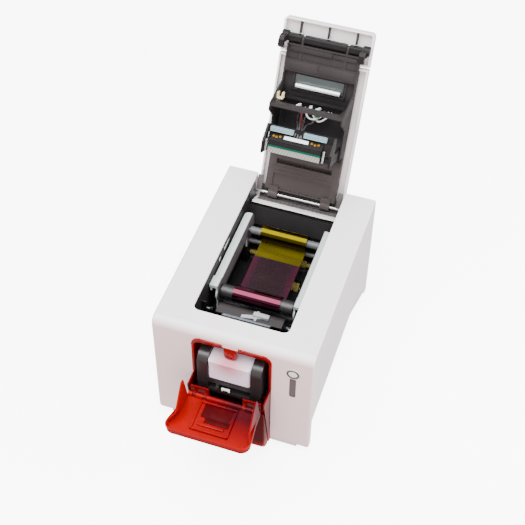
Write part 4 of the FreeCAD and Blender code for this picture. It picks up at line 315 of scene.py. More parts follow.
# The foot is painted a brighter red, as painted light that gathers where the clear moulding turns under, and
# the wall above it is painted darker, as painted shade.
height = add(tree, "SeparateXYZ", {"Vector": place})["Z"]
for start, end, tone in ((100, 92, "#420508"), (36, 20, "#96080C")):
    share = add(tree, "MapRange", {"Value": height, "From Min": start * MM, "From Max": end * MM})["Result"]
    tint(tree, shader, share, linear(tone))
dress(hopper_red, "output_hopper")

# The hopper's apron, which hides the slope of the pocket's front wall.
# One shallow moulding in the same deep red, clipped under the pocket, with a rounded foot.


def thicken(bm, faces, way):
    """Pull faces along a vector in mm, into a solid."""
    grown = bmesh.ops.extrude_face_region(bm, geom=faces)["geom"]
    moved = [item for item in grown if isinstance(item, bmesh.types.BMVert)]
    bmesh.ops.translate(bm, vec=way, verts=moved)


APRON = {"half": 49.6, "face": -164.5, "top": 100, "round": 4.5}
bm = bmesh.new()
outline = [(APRON["face"], APRON["top"]), (APRON["face"], 24), (-157, 12), (-145, 9)]
side_face = bm.faces.new([bm.verts.new((-APRON["half"], y, z)) for y, z in outline])
thicken(bm, [side_face], (2 * APRON["half"], 0, 0))
outer_edges = [edge for edge in bm.edges if all(vert.co.y < -150 for vert in edge.verts)]
bmesh.ops.bevel(
    bm,
    geom=outer_edges,
    offset=APRON["round"],
    segments=5,
    profile=0.5,
    affect="EDGES",
    material=-1,
)
settle(bm, "hopper_apron", hopper_red, "printer")

# The surround's bezel: a raised band that frames the window on the cover's face.
# Moulded with the surround in the same clear red, rounded at its two upper corners, and parted for the tab.


def pair(bm, low, high, bevel):
    """The same bar on the right and, mirrored, on the left."""
    block(bm, low, high, bevel)
    block(bm, (-high[0], *low[1:]), (-low[0], *high[1:]), bevel)


BEZEL = {"half": 51.2, "band": 3.4, "top": 182.4, "foot": 116.5, "front": -141.9, "back": -139.9}
BEZEL_EDGE = 0.5
ROUND = 12
TAB_GAP = (-11.5, 8.5)
bm = bmesh.new()
inner = BEZEL["half"] - BEZEL["band"]
knee = BEZEL["top"] - ROUND
shoulder = BEZEL["half"] - ROUND
pair(bm, (inner, BEZEL["front"], BEZEL["foot"]), (BEZEL["half"], BEZEL["back"], knee), BEZEL_EDGE)
for side in (-1, 1):
    corners = [
        (side * inner, BEZEL["front"], knee),
        (side * BEZEL["half"], BEZEL["front"], knee),
        (side * BEZEL["half"], BEZEL["back"], knee),
        (side * inner, BEZEL["back"], knee),
    ]
    end_face = bm.faces.new([bm.verts.new(corner) for corner in corners])
    bmesh.ops.spin(
        bm,
        geom=[end_face, *end_face.verts, *end_face.edges],
        cent=(side * shoulder, 0, knee),
        axis=(0, -side, 0),
        angle=math.radians(90),
        steps=8,
    )
for start, end in ((-shoulder, TAB_GAP[0]), (TAB_GAP[1], shoulder)):
    low = (start, BEZEL["front"], BEZEL["top"] - BEZEL["band"])
    block(bm, low, (end, BEZEL["back"], BEZEL["top"]), BEZEL_EDGE)
settle(bm, "surround_bezel", clear_red, "printer")

# Feeder door, open.
# One clear red moulding: a plate that widens towards its far edge, a low wall round it, tall wings beside
# the hinge, and a hinge bar that turns on two short pins in the hopper's ears.
door_red, tree, shader = finish(
    "shaded_red_polycarbonate",
    {"IOR": 1.49, "Specular IOR Level": 0.03, "Transmission Weight": 0.06},
)
place = vary(tree, shader, "#980202", "#800101", 40, (0.2, 0.3), 3.0, 0.01)
# It is brighter along its left and far edges, and painted plum towards the hinge and its right side: painted
# shade, where the cover and hopper above shadow the plate.
DOOR_SHADE_RAMPS = (("X", -38 * MM, 12 * MM), ("Y", to_middle - 222 * MM, to_middle - 184 * MM))
spread = add(tree, "SeparateXYZ", {"Vector": place})
inward, hingeward = [
    add(tree, "MapRange", {"Value": spread[way], "From Min": start, "From Max": end})["Result"]
    for way, start, end in DOOR_SHADE_RAMPS
]
painted_door_shade = add(tree, "Math", {0: inward, 1: hingeward}, operation="MULTIPLY")["Value"]
tint(tree, shader, painted_door_shade, linear("#420810"))
DOOR = {"near": -172, "far": -228.9, "low": 103, "floor": 105, "wall": 1.8, "lip": 113.5, "corner": 13}
PIVOT = (-168.5, 106)
NEAR_HALF, FLARE_HALF = 47.4, 47.6
FAR_LEFT, FAR_RIGHT = -58, 52
# The sides run straight up to here, and spread from here to the far edge.
FLARE = -187
bm = bmesh.new()
plate = bmesh.ops.create_cube(bm, size=1)["verts"]
for vert in plate:
    near = vert.co.y > 0
    left = vert.co.x < 0
    vert.co.x = (-NEAR_HALF if left else NEAR_HALF) if near else (FAR_LEFT if left else FAR_RIGHT)
    vert.co.y = DOOR["near"] if near else DOOR["far"]
    vert.co.z = DOOR["low"] if vert.co.z < 0 else DOOR["floor"]
cut = bmesh.ops.bisect_plane(
    bm, geom=[*bm.verts, *bm.edges, *bm.faces], plane_co=(0, FLARE, 0), plane_no=(0, 1, 0)
)["geom_cut"]
for vert in cut:
    if isinstance(vert, bmesh.types.BMVert):
        vert.co.x = math.copysign(FLARE_HALF, vert.co.x)
far_corners = [
    edge
    for edge in bm.edges
    if abs(edge.verts[0].co.z - edge.verts[1].co.z) > 1 and edge.verts[0].co.y < DOOR["far"] + 1
]
bmesh.ops.bevel(
    bm,
    geom=far_corners,
    offset=DOOR["corner"],
    segments=8,
    profile=0.5,
    affect="EDGES",
    material=-1,
)
upper = [face for face in bm.faces if face.normal.z > 0.9]
ring = bmesh.ops.inset_region(bm, faces=upper, thickness=DOOR["wall"], use_even_offset=True)["faces"]
wall = [face for face in ring if face.calc_center_median().y < DOOR["near"] - 2]
grown = bmesh.ops.extrude_face_region(bm, geom=wall)["geom"]
risen = [item for item in grown if isinstance(item, bmesh.types.BMVert)]
bmesh.ops.delete(bm, geom=wall, context="FACES_ONLY")
# The wall round the plate leans outwards as it rises.
LIP_OUT, LIP_FORWARD = 1.2, 1.3
for vert in risen:
    reach = max(0, (FLARE - vert.co.y) / (FLARE - DOOR["far"]))
    vert.co.z = DOOR["lip"]
    vert.co.x += math.copysign(LIP_OUT, vert.co.x) * min(reach, 1)
    vert.co.y -= LIP_FORWARD * reach * reach
# The tall part of a wing stays upright, because it slides into the surround when the door shuts.
WING = [(-172, 104), (-183, 152), (-186.5, 153), (-189.5, 151), (-211, 121.7), (FLARE, 104)]
WING_FAR = -217
LEAN = {-1: 10.4, 1: 4.4}
for side in (-1, 1):
    inner = side * (NEAR_HALF - DOOR["wall"])
    tall = [bm.verts.new((inner, y, z)) for y, z in WING]
    foot = inner + side * LEAN[side] * (FLARE - WING_FAR) / (FLARE - DOOR["far"])
    flared = [bm.verts.new((foot, WING_FAR, z)) for z in (DOOR["lip"], WING[-1][1])]
    wing = [bm.faces.new(tall), bm.faces.new([tall[-1], tall[-2], *flared])]
    thicken(bm, wing, (side * DOOR["wall"], 0, 0))
# The hinge bar is cut into barrels, which turn between the hopper's ears.
BARRELS = ((-46.5, -41.4), (-36.6, -27.4), (-22.6, 22.6), (27.4, 36.6), (41.4, 46.5))
BARREL_RADIUS = 3
for start, end in BARRELS:
    post(bm, (start, *PIVOT), (end, *PIVOT), BARREL_RADIUS, 20)
    block(bm, (start, DOOR["near"] - 1, DOOR["low"]), (end, PIVOT[0], DOOR["floor"]), 0.3)
# A rib frames the gate, and a short grip stands inside it.
FRAME = {"left": -27, "right": 21, "near": -174, "far": -217, "rib": 1.6, "rise": 108}
for low_x in (FRAME["left"], FRAME["right"] - FRAME["rib"]):
    low = (low_x, FRAME["far"], DOOR["low"])
    block(bm, low, (low_x + FRAME["rib"], FRAME["near"], FRAME["rise"]), 0.5)
for low_y in (FRAME["near"] - 3, FRAME["far"]):
    low = (FRAME["left"], low_y, DOOR["low"])
    block(bm, low, (FRAME["right"], low_y + FRAME["rib"], FRAME["rise"]), 0.5)
block(bm, (-21, -209, DOOR["low"]), (13, -204.5, 107), 0.8)
door = settle(bm, "feeder_door_shell", door_red, "door")
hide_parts("feeder_door")

# Inside the door, a dark plate behind the framed window, near the hinge.
# Painted shade: a darker red plate under the frame, standing for the dark that the window shows there, with
# a lower step at its far end.
window_shade_red, tree, shader = finish("painted_shade_red_plate", {"Specular IOR Level": 0.03})
vary(tree, shader, "#4A060A", "#2A0306", 6, (0.35, 0.5), 1.0, 0.01)
bm = bmesh.new()
block(bm, (-20.5, -196, 105), (15.5, -177.5, 106), 0.4)
block(bm, (-14, -203, 105), (17, -196, 105.8), 0.3)
settle(bm, "door_window_shade", window_shade_red, "door")

# Card feeder, its roof and the hood behind it.
# Black ABS again, but the columns are polished where cards slide, so they carry soft streaks of light.
feeder_black, tree, shader = finish(
    "polished_black_abs",
    {"Specular IOR Level": 0.4, "Coat Weight": 0.12, "Coat Roughness": 0.2},
)
vary(tree, shader, "#292425", "#1F1B1C", 18, (0.34, 0.46), 0.5, 0.015)
dress(feeder_black, "card_feeder", "feeder_roof", "feeder_hood", "gauge_lever")

# Acetal is slippery and slightly waxy, so the clip has a soft bright sheen.
light_grey, tree, shader = finish("light_grey_acetal", {"Coat Weight": 0.2})
vary(tree, shader, "#9EA1A0", "#868A89", 8, (0.3, 0.42), 0.4, 0.015)
dress(light_grey, "guide_clip")

# Thickness gauge's gate.
# A small white acetal bridge on two legs, clipped to the front of the feeder, that lets one card pass.
gate_white, tree, shader = finish("white_acetal_gate", {"Coat Weight": 0.2})
vary(tree, shader, "#EEEBEA", "#DDDAD9", 5, (0.3, 0.4), 0.3, 0.01)
bm = bmesh.new()
block(bm, (-9.4, -153.6, 108.2), (1.6, -151.4, 111), 0.4)
block(bm, (-9.4, -153.2, 105.6), (-7.2, -151.4, 109), 0.4)
block(bm, (-1.1, -153.2, 105.8), (1.6, -151.4, 109), 0.4)
settle(bm, "gauge_mark", gate_white, "printer")

# Blank cards.
# Standard PVC cards, laminated and glossy, stacked loosely so their edges show one above another.
card_white, tree, shader = finish("glossy_pvc_card", {"Coat Weight": 0.6, "Coat Roughness": 0.08})
place = vary(tree, shader, "#E4D6E4", "#DACBDC", 30, (0.18, 0.26), 0.5, 0.004)
# A pink glow is painted on the cards round the foot of the red tab above: painted light, the red light that
# the tab throws on the nearest edge of the top card.
TAB_FOOT = (-2 * MM, to_middle - 150 * MM, 157 * MM)
NEAR_TAB, FAR_TAB = 6 * MM, 26 * MM
shifted = add(tree, "VectorMath", {0: place, 1: TAB_FOOT}, operation="SUBTRACT")["Vector"]
away = add(tree, "VectorMath", {0: shifted}, operation="LENGTH")["Value"]
painted_tab_glow = add(tree, "MapRange", {"Value": away, "From Min": FAR_TAB, "From Max": NEAR_TAB})["Result"]
tint(tree, shader, painted_tab_glow, linear("#C98A94"))
dress(card_white, "blank_cards")
# A card's width, length and thickness, the radius of its corners, and the play that a stack leaves.
CARD = (54, 85.6, 0.76)
CARD_ROUND = 3.2
PLAY = 0.25
low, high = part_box("blank_cards")
count = int((high.z - low.z) / MM / CARD[2])
draw = random.Random(7)
bm = bmesh.new()
for i in range(count):
    made = bmesh.ops.create_cube(bm, size=1)["verts"]
    bmesh.ops.scale(bm, vec=(CARD[0] - 2 * PLAY, CARD[1] - 2 * PLAY, CARD[2] - 0.06), verts=made)
    upright = [e for v in made for e in v.link_edges if abs(e.verts[0].co.z - e.verts[1].co.z) > 0.1]
    made = bmesh.ops.bevel(
        bm,
        geom=list(set(upright)),
        offset=CARD_ROUND,
        segments=4,
        profile=0.5,
        affect="EDGES",
        material=-1,
    )["verts"]
    whole = list({v for start in made for f in start.link_faces for v in f.verts})
    shift = (draw.uniform(-PLAY, PLAY), draw.uniform(-PLAY, PLAY), CARD[2] * i)
    bmesh.ops.translate(bm, vec=shift, verts=whole)
middle = (low + high) / 2 / MM
bmesh.ops.translate(bm, vec=(0, middle.y - to_middle / MM, low.z / MM + CARD[2] / 2), verts=bm.verts)
cards = settle(bm, "stacked_cards", card_white, "printer")
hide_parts("blank_cards")

# Button and status window on the front.
# The button is a white cap with a thin grey ring pressed round it. The window is a strip of smoked acrylic.
button_white, tree, shader = finish("white_button_cap", {"Coat Weight": 0.3})
vary(tree, shader, "#E9E6E5", "#DFDBDA", 8, (0.3, 0.4), 0.4, 0.01)
dress(button_white, "control_button")

# Smoked acrylic is polished and mirrors the room in a dark grey.
smoked, tree, shader = finish("smoked_acrylic", {"Specular IOR Level": 0.3})
vary(tree, shader, "#5C5053", "#4E4447", 12, (0.12, 0.2), 0.5, 0.004)
dress(smoked, "status_window")

# The ring is dark grey nylon, so it reads as a fine line against the cap.
ring_grey, tree, shader = finish("dark_grey_nylon_ring", {"Specular IOR Level": 0.3})
vary(tree, shader, "#4E4747", "#433D3D", 6, (0.3, 0.4), 0.4, 0.01)
low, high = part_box("control_button")
centre = (low + high) / 2 / MM
bm = bmesh.new()
front = low.y / MM - to_middle / MM
RING_OUTER, RING_INNER = 7.95, 5.7
SUNK, PROUD = front + 0.4, front - 0.5
band = [(RING_OUTER, SUNK), (RING_OUTER, PROUD), (RING_INNER, PROUD), (RING_INNER, SUNK)]
start = [bm.verts.new((centre.x + radius, along, centre.z)) for radius, along in band]
loop = [bm.edges.new((start[i], start[(i + 1) % 4])) for i in range(4)]
bmesh.ops.spin(
    bm,
    geom=start + loop,
    cent=(centre.x, 0, centre.z),
    axis=(0, 1, 0),
    angle=math.tau,
    steps=48,
    use_merge=True,
)
settle(bm, "button_ring", ring_grey, "button")

# Ribbon cartridge.
# Light blue-grey polystyrene rails carry two cores. The supply roll shows the yellow panel of its dye film,
# and the take-up roll the used film, dark plum.
rail_grey, tree, shader = finish("blue_grey_polystyrene", {"Coat Weight": 0.1})
place = vary(tree, shader, "#BAC5C2", "#AEBAB8", 22, (0.38, 0.5), 0.6, 0.02)
# The tie bars between the rails are painted dark grey: painted shade, as they are moulded in the rails' grey
# and only lie in shadow in the bay.
across = add(tree, "SeparateXYZ", {"Vector": place})["X"]
offset = add(tree, "Math", {0: across}, operation="ABSOLUTE")["Value"]
painted_tie_shade = add(tree, "MapRange", {"Value": offset, "From Min": 50.5 * MM, "From Max": 49.5 * MM})["Result"]
tint(tree, shader, painted_tie_shade, linear("#4A494B"))
dress(rail_grey, "cartridge_frame")

# The cores are moulded in recycled polystyrene, so their grey is uneven.
core_grey, tree, shader = finish("grey_polystyrene_core", {"Specular IOR Level": 0.5})
vary(tree, shader, "#55575A", "#464849", 6, (0.4, 0.5), 0.5, 0.02)
dress(core_grey, "supply_core")

# The take-up core comes from a darker batch.
core_dark, tree, shader = finish("dark_polystyrene_core", {"Specular IOR Level": 0.5})
vary(tree, shader, "#222123", "#18171A", 6, (0.35, 0.48), 0.5, 0.02)
dress(core_dark, "takeup_core")

# Tightly wound film shines like dark lacquer, with a narrow highlight along the roll.
yellow_film, tree, shader = finish("wound_yellow_film", {"Metallic": 1.0})
vary(tree, shader, "#4C4300", "#3F3700", 5, (0.14, 0.2), 0.8, 0.006, stretch=(0.3, 1, 1))
dress(yellow_film, "supply_roll")

# Used film has given up its dye and is wound tighter, so the plum roll is the glossier one.
magenta_film, tree, shader = finish("wound_magenta_film", {"Metallic": 1.0})
vary(tree, shader, "#542434", "#461C2A", 6, (0.05, 0.08), 0.8, 0.002, stretch=(0.3, 1, 1))
dress(magenta_film, "takeup_roll")

# The film between the rolls is thin polyester that a little shows through, plum in front and yellow behind.
dye_film, tree, shader = finish("stretched_dye_film", {"Specular IOR Level": 0.12, "Alpha": 0.78})
place = vary(tree, shader, "#23151B", "#23151B", 10, (0.3, 0.4), 1.5, 0.02)
spread = add(tree, "SeparateXYZ", {"Vector": place})
# The stretched panel is thin in the middle, so its colour gathers along both sides.
offset = add(tree, "Math", {0: spread["X"]}, operation="ABSOLUTE")["Value"]
gathered = add(tree, "MapRange", {"Value": offset, "From Min": 20 * MM, "From Max": 33 * MM})["Result"]
tint(tree, shader, gathered, linear("#3E1226"))
# The yellow dye is streaked across the film, in bands about 9 mm apart.
PANEL_EDGE = to_middle + 37 * MM
BAND = 9 * MM
streak_place = add(tree, "Mapping", {"Vector": place, "Scale": (0.15, 1, 1)})["Vector"]
streak = add(tree, "TexNoise", {"Vector": streak_place, "Scale": 1 / BAND, "Detail": 2.0})["Fac"]
olive = add(tree, "Mix", {0: streak, 6: linear("#5A5000"), 7: linear("#2E2A08")}, data_type="RGBA")[2]
beyond = {"Value": spread["Y"], "From Min": PANEL_EDGE - 0.5 * MM, "From Max": PANEL_EDGE + 0.5 * MM}
tint(tree, shader, add(tree, "MapRange", beyond)["Result"], olive)
dress(dye_film, "ribbon_film")

# Lid frame, latch and print head.
# A black glass-filled ABS frame is screwed inside the white lid, and the head hangs from two pins in it.
lid_black, tree, shader = finish("black_lid_abs", {"Specular IOR Level": 0.18})
place = vary(tree, shader, "#302C2D", "#252223", 30, (0.5, 0.62), 0.7, 0.035)
# The rear panel is painted a lighter grey, as a painted sheen, and the well round the head is painted
# darkest, as painted shade.
height = add(tree, "SeparateXYZ", {"Vector": place})["Z"]
plain = shader.inputs["Base Color"].links[0].from_socket
PAINTED_SHEEN_AND_SHADE = ((232, 222, linear("#3E3939")), (244, 252, linear("#161415")), (300, 308, plain))
for start, end, tone in PAINTED_SHEEN_AND_SHADE:
    share = add(tree, "MapRange", {"Value": height, "From Min": start * MM, "From Max": end * MM})["Result"]
    tint(tree, shader, share, tone)
dress(lid_black, "lid_frame")

# The latch and the head's bracket are acetal, a deeper black than the frame.
latch_black, tree, shader = finish("black_acetal_latch", {"Specular IOR Level": 0.14})
vary(tree, shader, "#1D1A1B", "#141213", 12, (0.4, 0.52), 0.5, 0.02)
dress(latch_black, "latch_bar", "head_carriage")

# Brushed stainless sheet has fine lines along X, so its shine runs across them.
satin_plate, tree, shader = finish("satin_steel_plate", {"Metallic": 1.0})
vary(tree, shader, "#7C8282", "#565C5C", 14, (0.28, 0.4), 0.4, 0.01, stretch=(0.2, 1, 1))
dress(satin_plate, "ribbon_guides")

# Natural nylon lets a little light in, which makes the clip look creamy.
cream_nylon, tree, shader = finish(
    "cream_nylon_clip", {"Subsurface Weight": 0.15, "Subsurface Scale": 2 * MM}
)
vary(tree, shader, "#F8EFC0", "#E6D9A2", 4, (0.4, 0.5), 0.4, 0.02)
dress(cream_nylon, "wire_clip")

# Aluminium fresh from the die is pale and slightly blue, with faint lines along the extrusion.
sink_alloy, tree, shader = finish("extruded_aluminium", {"Metallic": 0.6})
vary(tree, shader, "#BBE0EA", "#9DC3CD", 5, (0.3, 0.42), 0.4, 0.01, stretch=(0.2, 1, 1))
dress(sink_alloy, "heat_sinks")

# The head's board carries a deeper green mask than the main board.
head_mask, tree, shader = finish("green_head_board", {"Specular IOR Level": 0.15})
vary(tree, shader, "#04503C", "#033D2E", 4, (0.25, 0.35), 0.6, 0.02)
dress(head_mask, "head_board")

# The heating plate is glazed alumina: pale, smooth and slightly glassy.
glazed_ceramic, tree, shader = finish("glazed_alumina", {"Coat Weight": 0.2, "Coat Roughness": 0.15})
place = vary(tree, shader, "#96968F", "#84847F", 6, (0.2, 0.3), 0.5, 0.006)
# Darker slanted lines cross the plate. They are drawn 3.4 mm apart, coarser than the real ones.
# The bands of a wave at scale 1 are 0.314 m apart.
WAVE = 0.314
LINE_PITCH = 3.4 * MM
slanted = add(tree, "Mapping", {"Vector": place, "Rotation": (0, math.radians(-28), 0)})["Vector"]
bare = add(tree, "TexWave", {"Vector": slanted, "Scale": WAVE / LINE_PITCH}, bands_direction="X")["Fac"]
lines = add(tree, "Math", {0: 1.0, 1: bare}, operation="SUBTRACT")["Value"]
tint(tree, shader, lines, linear("#74746F"))
dress(glazed_ceramic, "head_ceramic")

# Trim and small fittings of the lid.
# Grey strips clipped along the hinge, a frame round the guide plate, and a bright sleeve on the guide bar.
trim_grey, tree, shader = finish("grey_clipped_trim", {"Specular IOR Level": 0.3})
vary(tree, shader, "#595556", "#484546", 20, (0.4, 0.52), 0.6, 0.02)
bm = bmesh.new()
block(bm, (-55, 136.2, 166), (55, 137.3, 183), 0.3)
for rib_z in (172, 179):
    block(bm, (-54, 135.2, rib_z), (54, 136.4, rib_z + 2.5), 0.4)
pair(bm, (52, 104, 169.3), (59, 125, 171.6), 0.5)
settle(bm, "hinge_trim", trim_grey, "lid", on_lid=True)

# Raised ribs of the lid's panel: a frame round the guide plate, two pads and two steps ahead of it, and a
# pair of lines behind the head.
bm = bmesh.new()
for low_y, high_y in ((-42, -39.5), (-19.5, -16.5)):
    block(bm, (-36, low_y, 180), (36, high_y, 182.5), 0.4)
pair(bm, (33.5, -41, 180), (36, -17, 182.5), 0.4)
for low_x, high_x in ((-44.5, -4), (-2.5, 44.5)):
    block(bm, (low_x, -56, 172.2), (high_x, -44, 173.4), 0.5)
block(bm, (-44, -77.4, 174), (12, -68, 177), 0.8)
block(bm, (12, -74.5, 174.8), (44, -68, 177), 0.8)
for low_y in (86, 92):
    block(bm, (-42, low_y, 172.2), (42, low_y + 1.2, 173.4), 0.4)
settle(bm, "lid_panel_ribs", lid_black, "lid", on_lid=True)

# The sleeve is polished where the ribbon runs over it, so it mirrors the soft box as a white bar, and its
# near-white colour adds painted reflection to that bar.
sleeve_painted_white, tree, shader = finish("polished_guide_sleeve", {"Metallic": 0.4})
vary(tree, shader, "#F2F4F4", "#D5D9D9", 8, (0.25, 0.35), 0.4, 0.006, stretch=(4, 1, 1))
bm = bmesh.new()
post(bm, (-29.5, -24.5, 176), (29.5, -24.5, 176), 2.9, 28)
settle(bm, "guide_sleeve", sleeve_painted_white, "lid", on_lid=True)

# Dark strips on the flap's ribs, and the claws at the ends of the latch bar.
# The black strips over the ribs are painted shade, for the shadow that the ribs stand in. The claws are
# rounded bosses moulded on the bar.
bm = bmesh.new()
for x in (-37, 0, 37):
    block(bm, (x - 1, -105, 184.6), (x + 1, -89.5, 192), 0.3)
settle(bm, "flap_rib_shade_strips", lid_black, "latch", on_lid=True)
bm = bmesh.new()
for side in (-1, 1):
    post(bm, (side * 49.2, -86, 177.8), (side * 57.6, -86, 177.8), 6.4, 28)
    post(bm, (side * 50, -84.6, 165.5), (side * 57.2, -84.6, 165.5), 4.4, 24)
pair(bm, (50, -88, 160), (57.2, -81.2, 176), 1.2)
# A black plate along the back of the bar is painted shade: it fills the gap behind the bar so that the gap
# shows dark.
block(bm, (-49.5, -80, 183.2), (49.5, -72, 184.4), 0.3)
settle(bm, "latch_claws", latch_black, "latch", on_lid=True)

# Print head's fittings: plain label, contact pads, board cover and springs.
# The label is bare white polyester, the pads are gold-plated copper, and the springs are stainless wire.
label_white, tree, shader = finish("bare_label_polyester", {"Coat Weight": 0.2})
vary(tree, shader, "#E8ECEE", "#DCE0E3", 6, (0.3, 0.4), 0.5, 0.004)
# The gold is worn to brown in patches.
gold_pads, tree, shader = finish("gold_plated_pads", {"Metallic": 0.8})
vary(tree, shader, "#C08A1E", "#6E4C0C", 2, (0.3, 0.45), 0.5, 0.02)
FACE = ((24, 124.3), (34, 106.6))
tilt = math.atan2(FACE[1][0] - FACE[0][0], FACE[0][1] - FACE[1][1])


def on_face(bm, left, right, start, end, rise):
    """A thin plate on the sloping face of the head block, placed by its distance down that face in mm."""
    made = block(bm, (left, -rise, -end), (right, 0, -start), 0.15)
    bmesh.ops.rotate(bm, matrix=Matrix.Rotation(tilt, 3, "X"), verts=made)
    bmesh.ops.translate(bm, vec=(0, *FACE[0]), verts=made)


bm = bmesh.new()
on_face(bm, -20, 12, 7, 13, 0.5)
settle(bm, "head_label", label_white, "print_head", on_lid=True)
# Two groups of three pads. They stand a little above or below one another.
PADS = ((-35, 8.5), (-31, 9.5), (-26.5, 8), (15, 7.5), (19.5, 9), (24, 7.5))
PAD_WIDTH, PAD_LENGTH = 3, 3.5
bm = bmesh.new()
for left, start in PADS:
    on_face(bm, left, left + PAD_WIDTH, start, start + PAD_LENGTH, 0.6)
settle(bm, "head_pads", gold_pads, "print_head", on_lid=True)
# The black cover of the head's board has one strip on the face and one below it.
bm = bmesh.new()
block(bm, (-37, 33.6, 104.9), (32, 38.2, 106.8), 0.3)
on_face(bm, -36.8, 31.8, 16, 20, 1.2)
settle(bm, "head_board_cover", latch_black, "print_head", on_lid=True)
# Drawn stainless wire is bright all round, and each turn of a spring catches its own highlight.
spring_bright, tree, shader = finish("stainless_spring_wire", {"Metallic": 1.0})
vary(tree, shader, "#E4E6E7", "#B8BBBD", 3, (0.15, 0.25), 0.3, 0.006)
COIL = {"count": 9, "first": 33, "pitch": 1.6, "wire": 0.9, "radius": 2.3}
PIN = {"start": 32, "end": 48, "radius": 1.5}
SPRINGS_X, SPRING_Z = (-40, 35), 108.5
bm = bmesh.new()
for x in SPRINGS_X:
    for i in range(COIL["count"]):
        y = COIL["first"] + COIL["pitch"] * i
        post(bm, (x, y, SPRING_Z), (x, y + COIL["wire"], SPRING_Z), COIL["radius"], 16)
    post(bm, (x, PIN["start"], SPRING_Z), (x, PIN["end"], SPRING_Z), PIN["radius"], 12)
settle(bm, "head_springs", spring_bright, "print_head", on_lid=True)

# Head cable and its plugs.
# Soft PVC wires run from the plugs in the lid's well, under the beam, to the middle of the head.
# The jackets are satin and drift between two close tones. A wire's points are in mm, before the lid opens.
WIRE = 1.15
SOOT, COAL = ("#3E3A3C", "#2A2728"), ("#353133", "#221F20")
ways = {
    "black_wire_a": (*SOOT, [(-12, 4, 186), (-16, 12, 170), (-8, 10, 140), (-5, 17, 126), (-4, 27, 121)]),
    "black_wire_b": (*COAL, [(-8, 6, 186), (-10, 16, 168), (-4, 12, 142), (-2, 18, 126), (1, 27, 121)]),
    "black_wire_c": (*SOOT, [(8, 8, 186), (3, 18, 165), (0, 14, 142), (-1, 20, 126), (-1, 28, 120)]),
    "black_wire_d": (*COAL, [(-20, 6, 186), (-18, 14, 160), (-10, 12, 136), (-7, 19, 125), (-8, 26, 121)]),
    "white_wire_a": (
        "#DCD9D6",
        "#C6C2BE",
        [(-14, 4, 184), (-9, 12, 172), (2, 14, 166), (12, 8, 172), (18, 4, 184)],
    ),
    "white_wire_b": (
        "#D2CFCC",
        "#BAB6B2",
        [(-6, 2, 184), (0, 12, 174), (10, 16, 168), (18, 10, 174), (22, 4, 184)],
    ),
    "red_wire": (
        "#A0141A",
        "#7C0E14",
        [(-20, 2, 184), (-16, 10, 172), (-12, 14, 164), (-8, 16, 150), (-6, 18, 130)],
    ),
    "green_wire": (
        "#0C6B3A",
        "#08502B",
        [(0, 2, 184), (4, 10, 170), (8, 10, 168), (12, 8, 176), (12, 4, 186)],
    ),
}
swing = Matrix.Rotation(lid_angle, 3, "X")
for name, (light, dark, route) in ways.items():
    jacket, tree, shader = finish(name + "_pvc", {"Specular IOR Level": 0.6})
    vary(tree, shader, light, dark, 5, (0.22, 0.34), 0.5, 0.01)
    line = bpy.data.curves.new(name, "CURVE")
    line.dimensions = "3D"
    line.bevel_depth = WIRE * MM
    line.bevel_resolution = 3
    line.resolution_u = 8
    line.use_fill_caps = True
    strand = line.splines.new("NURBS")
    strand.points.add(len(route) - 1)
    strand.order_u = 3
    strand.use_endpoint_u = True
    for point, (x, y, z) in zip(strand.points, route):
        from_hinge = Vector((x * MM, y * MM + to_middle, z * MM)) - hinge
        point.co = (*(hinge + swing @ from_hinge), 1)
    line.materials.append(jacket)
    wire = bpy.data.objects.new(name, line)
    bpy.context.scene.collection.objects.link(wire)
    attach(wire, "lid")
# The plugs' white housings lean a few degrees, as the wires pull them.
PLUGS = ((-20, 9), (-6, -6), (7, 12))
bm = bmesh.new()
for x, lean in PLUGS:
    made = block(bm, (x, -3, 160), (x + 3.2, 0.2, 174), 0.5)
    turn = Matrix.Rotation(math.radians(lean), 3, "Y")
    bmesh.ops.rotate(bm, cent=(x, -2, 176), matrix=turn, verts=made)
settle(bm, "well_plugs", label_white, "lid", on_lid=True)

# Comb ribs and wall springs.
# The comb on the feeder roof is a fine-ribbed grey strip. Two leaf springs sit on the bay's left wall.
# Its grey is bluer and darker than that of the cartridge's rails.
comb_grey, tree, shader = finish("blue_grey_comb", {"Specular IOR Level": 0.3})
vary(tree, shader, "#84909C", "#6C7884", 9, (0.4, 0.5), 0.4, 0.01)
COMB = {"ribs": 41, "pitch": 1.53, "thick": 0.8, "half": 31, "tilt": math.radians(43), "at": (0, -83.8, 167)}
bm = bmesh.new()
for i in range(COMB["ribs"]):
    x = COMB["pitch"] * (i - COMB["ribs"] // 2)
    block(bm, (x - COMB["thick"] / 2, -0.4, -5.8), (x + COMB["thick"] / 2, 0.5, 5.8))
block(bm, (-COMB["half"], -0.6, -5.9), (COMB["half"], 0.1, 5.9), 0.1)
bmesh.ops.rotate(bm, matrix=Matrix.Rotation(COMB["tilt"], 3, "X"), verts=bm.verts)
bmesh.ops.translate(bm, vec=COMB["at"], verts=bm.verts)
settle(bm, "comb_ribs", comb_grey, "printer")
bm = bmesh.new()
block(bm, (-61.2, 3, 182), (-60.5, 22, 187), 0.2)
block(bm, (-61.2, -16, 180), (-60.5, -10, 185), 0.2)
settle(bm, "wall_springs", spring_bright, "printer")

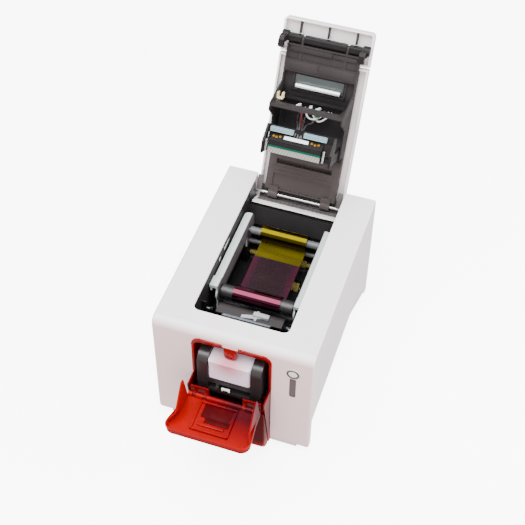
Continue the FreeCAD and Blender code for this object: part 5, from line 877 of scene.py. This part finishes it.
# Floor, light and camera, as in a product photograph.
# The printer stands on a backlit pale sheet under a large soft box, with a rosy fill in front and a paler
# one on the right. The sheet adds no bounced light, as if it were cut out round the printer.
bm = bmesh.new()
bmesh.ops.create_grid(bm, x_segments=2, y_segments=2, size=8)
mesh = bpy.data.meshes.new("floor")
bm.to_mesh(mesh)
bm.free()
floor = bpy.data.objects.new("floor", mesh)
bpy.context.scene.collection.objects.link(floor)
paper, tree, shader = finish("backlit_white_sheet", {"Specular IOR Level": 0.1, "Emission Strength": 6.0})
shader.inputs["Emission Color"].default_value = linear("#FFFFFF")
vary(tree, shader, "#FBFBFB", "#F7F7F7", 400, (0.85, 0.9), 2, 0.01)
mesh.materials.append(paper)
floor.visible_diffuse = False
floor.visible_glossy = False
floor.visible_transmission = False

world = bpy.data.worlds.new("studio")
world.use_nodes = True
world.node_tree.nodes["Background"].inputs["Color"].default_value = linear("#FFFFFF")
world.node_tree.nodes["Background"].inputs["Strength"].default_value = 1.0
bpy.context.scene.world = world


def soft_box(name, place, aim, size, power, colour):
    """A square area light that faces a point."""
    light = bpy.data.lights.new(name, "AREA")
    light.color = linear(colour)[:3]
    light.size = size
    light.energy = power
    lamp = bpy.data.objects.new(name, light)
    lamp.location = place
    lamp.rotation_euler = (Vector(aim) - Vector(place)).to_track_quat("-Z", "Y").to_euler()
    bpy.context.scene.collection.objects.link(lamp)
    return lamp


soft_box("top_soft_box", (-0.2, -0.35, 2.1), (0, 0, 0.15), 1.8, 118, "#FFFFFF")
front_fill = soft_box("front_fill", (0.4, -1.9, 0.8), (0, 0, 0.12), 1.2, 32, "#FFE4E4")
front_fill.visible_glossy = False
soft_box("right_fill", (1.7, 0.1, 0.8), (0, 0, 0.12), 1.0, 50, "#FFF2F3")

view = bpy.data.cameras.new("product_camera")
view.lens = 77.95
view.sensor_width = 36
camera = bpy.data.objects.new("product_camera", view)
camera.location = (0.28654, to_middle - 0.90445, 1.26215)
camera.rotation_euler = [math.radians(angle) for angle in (41.346, -0.495, 18.604)]
bpy.context.scene.collection.objects.link(camera)
bpy.context.scene.camera = camera
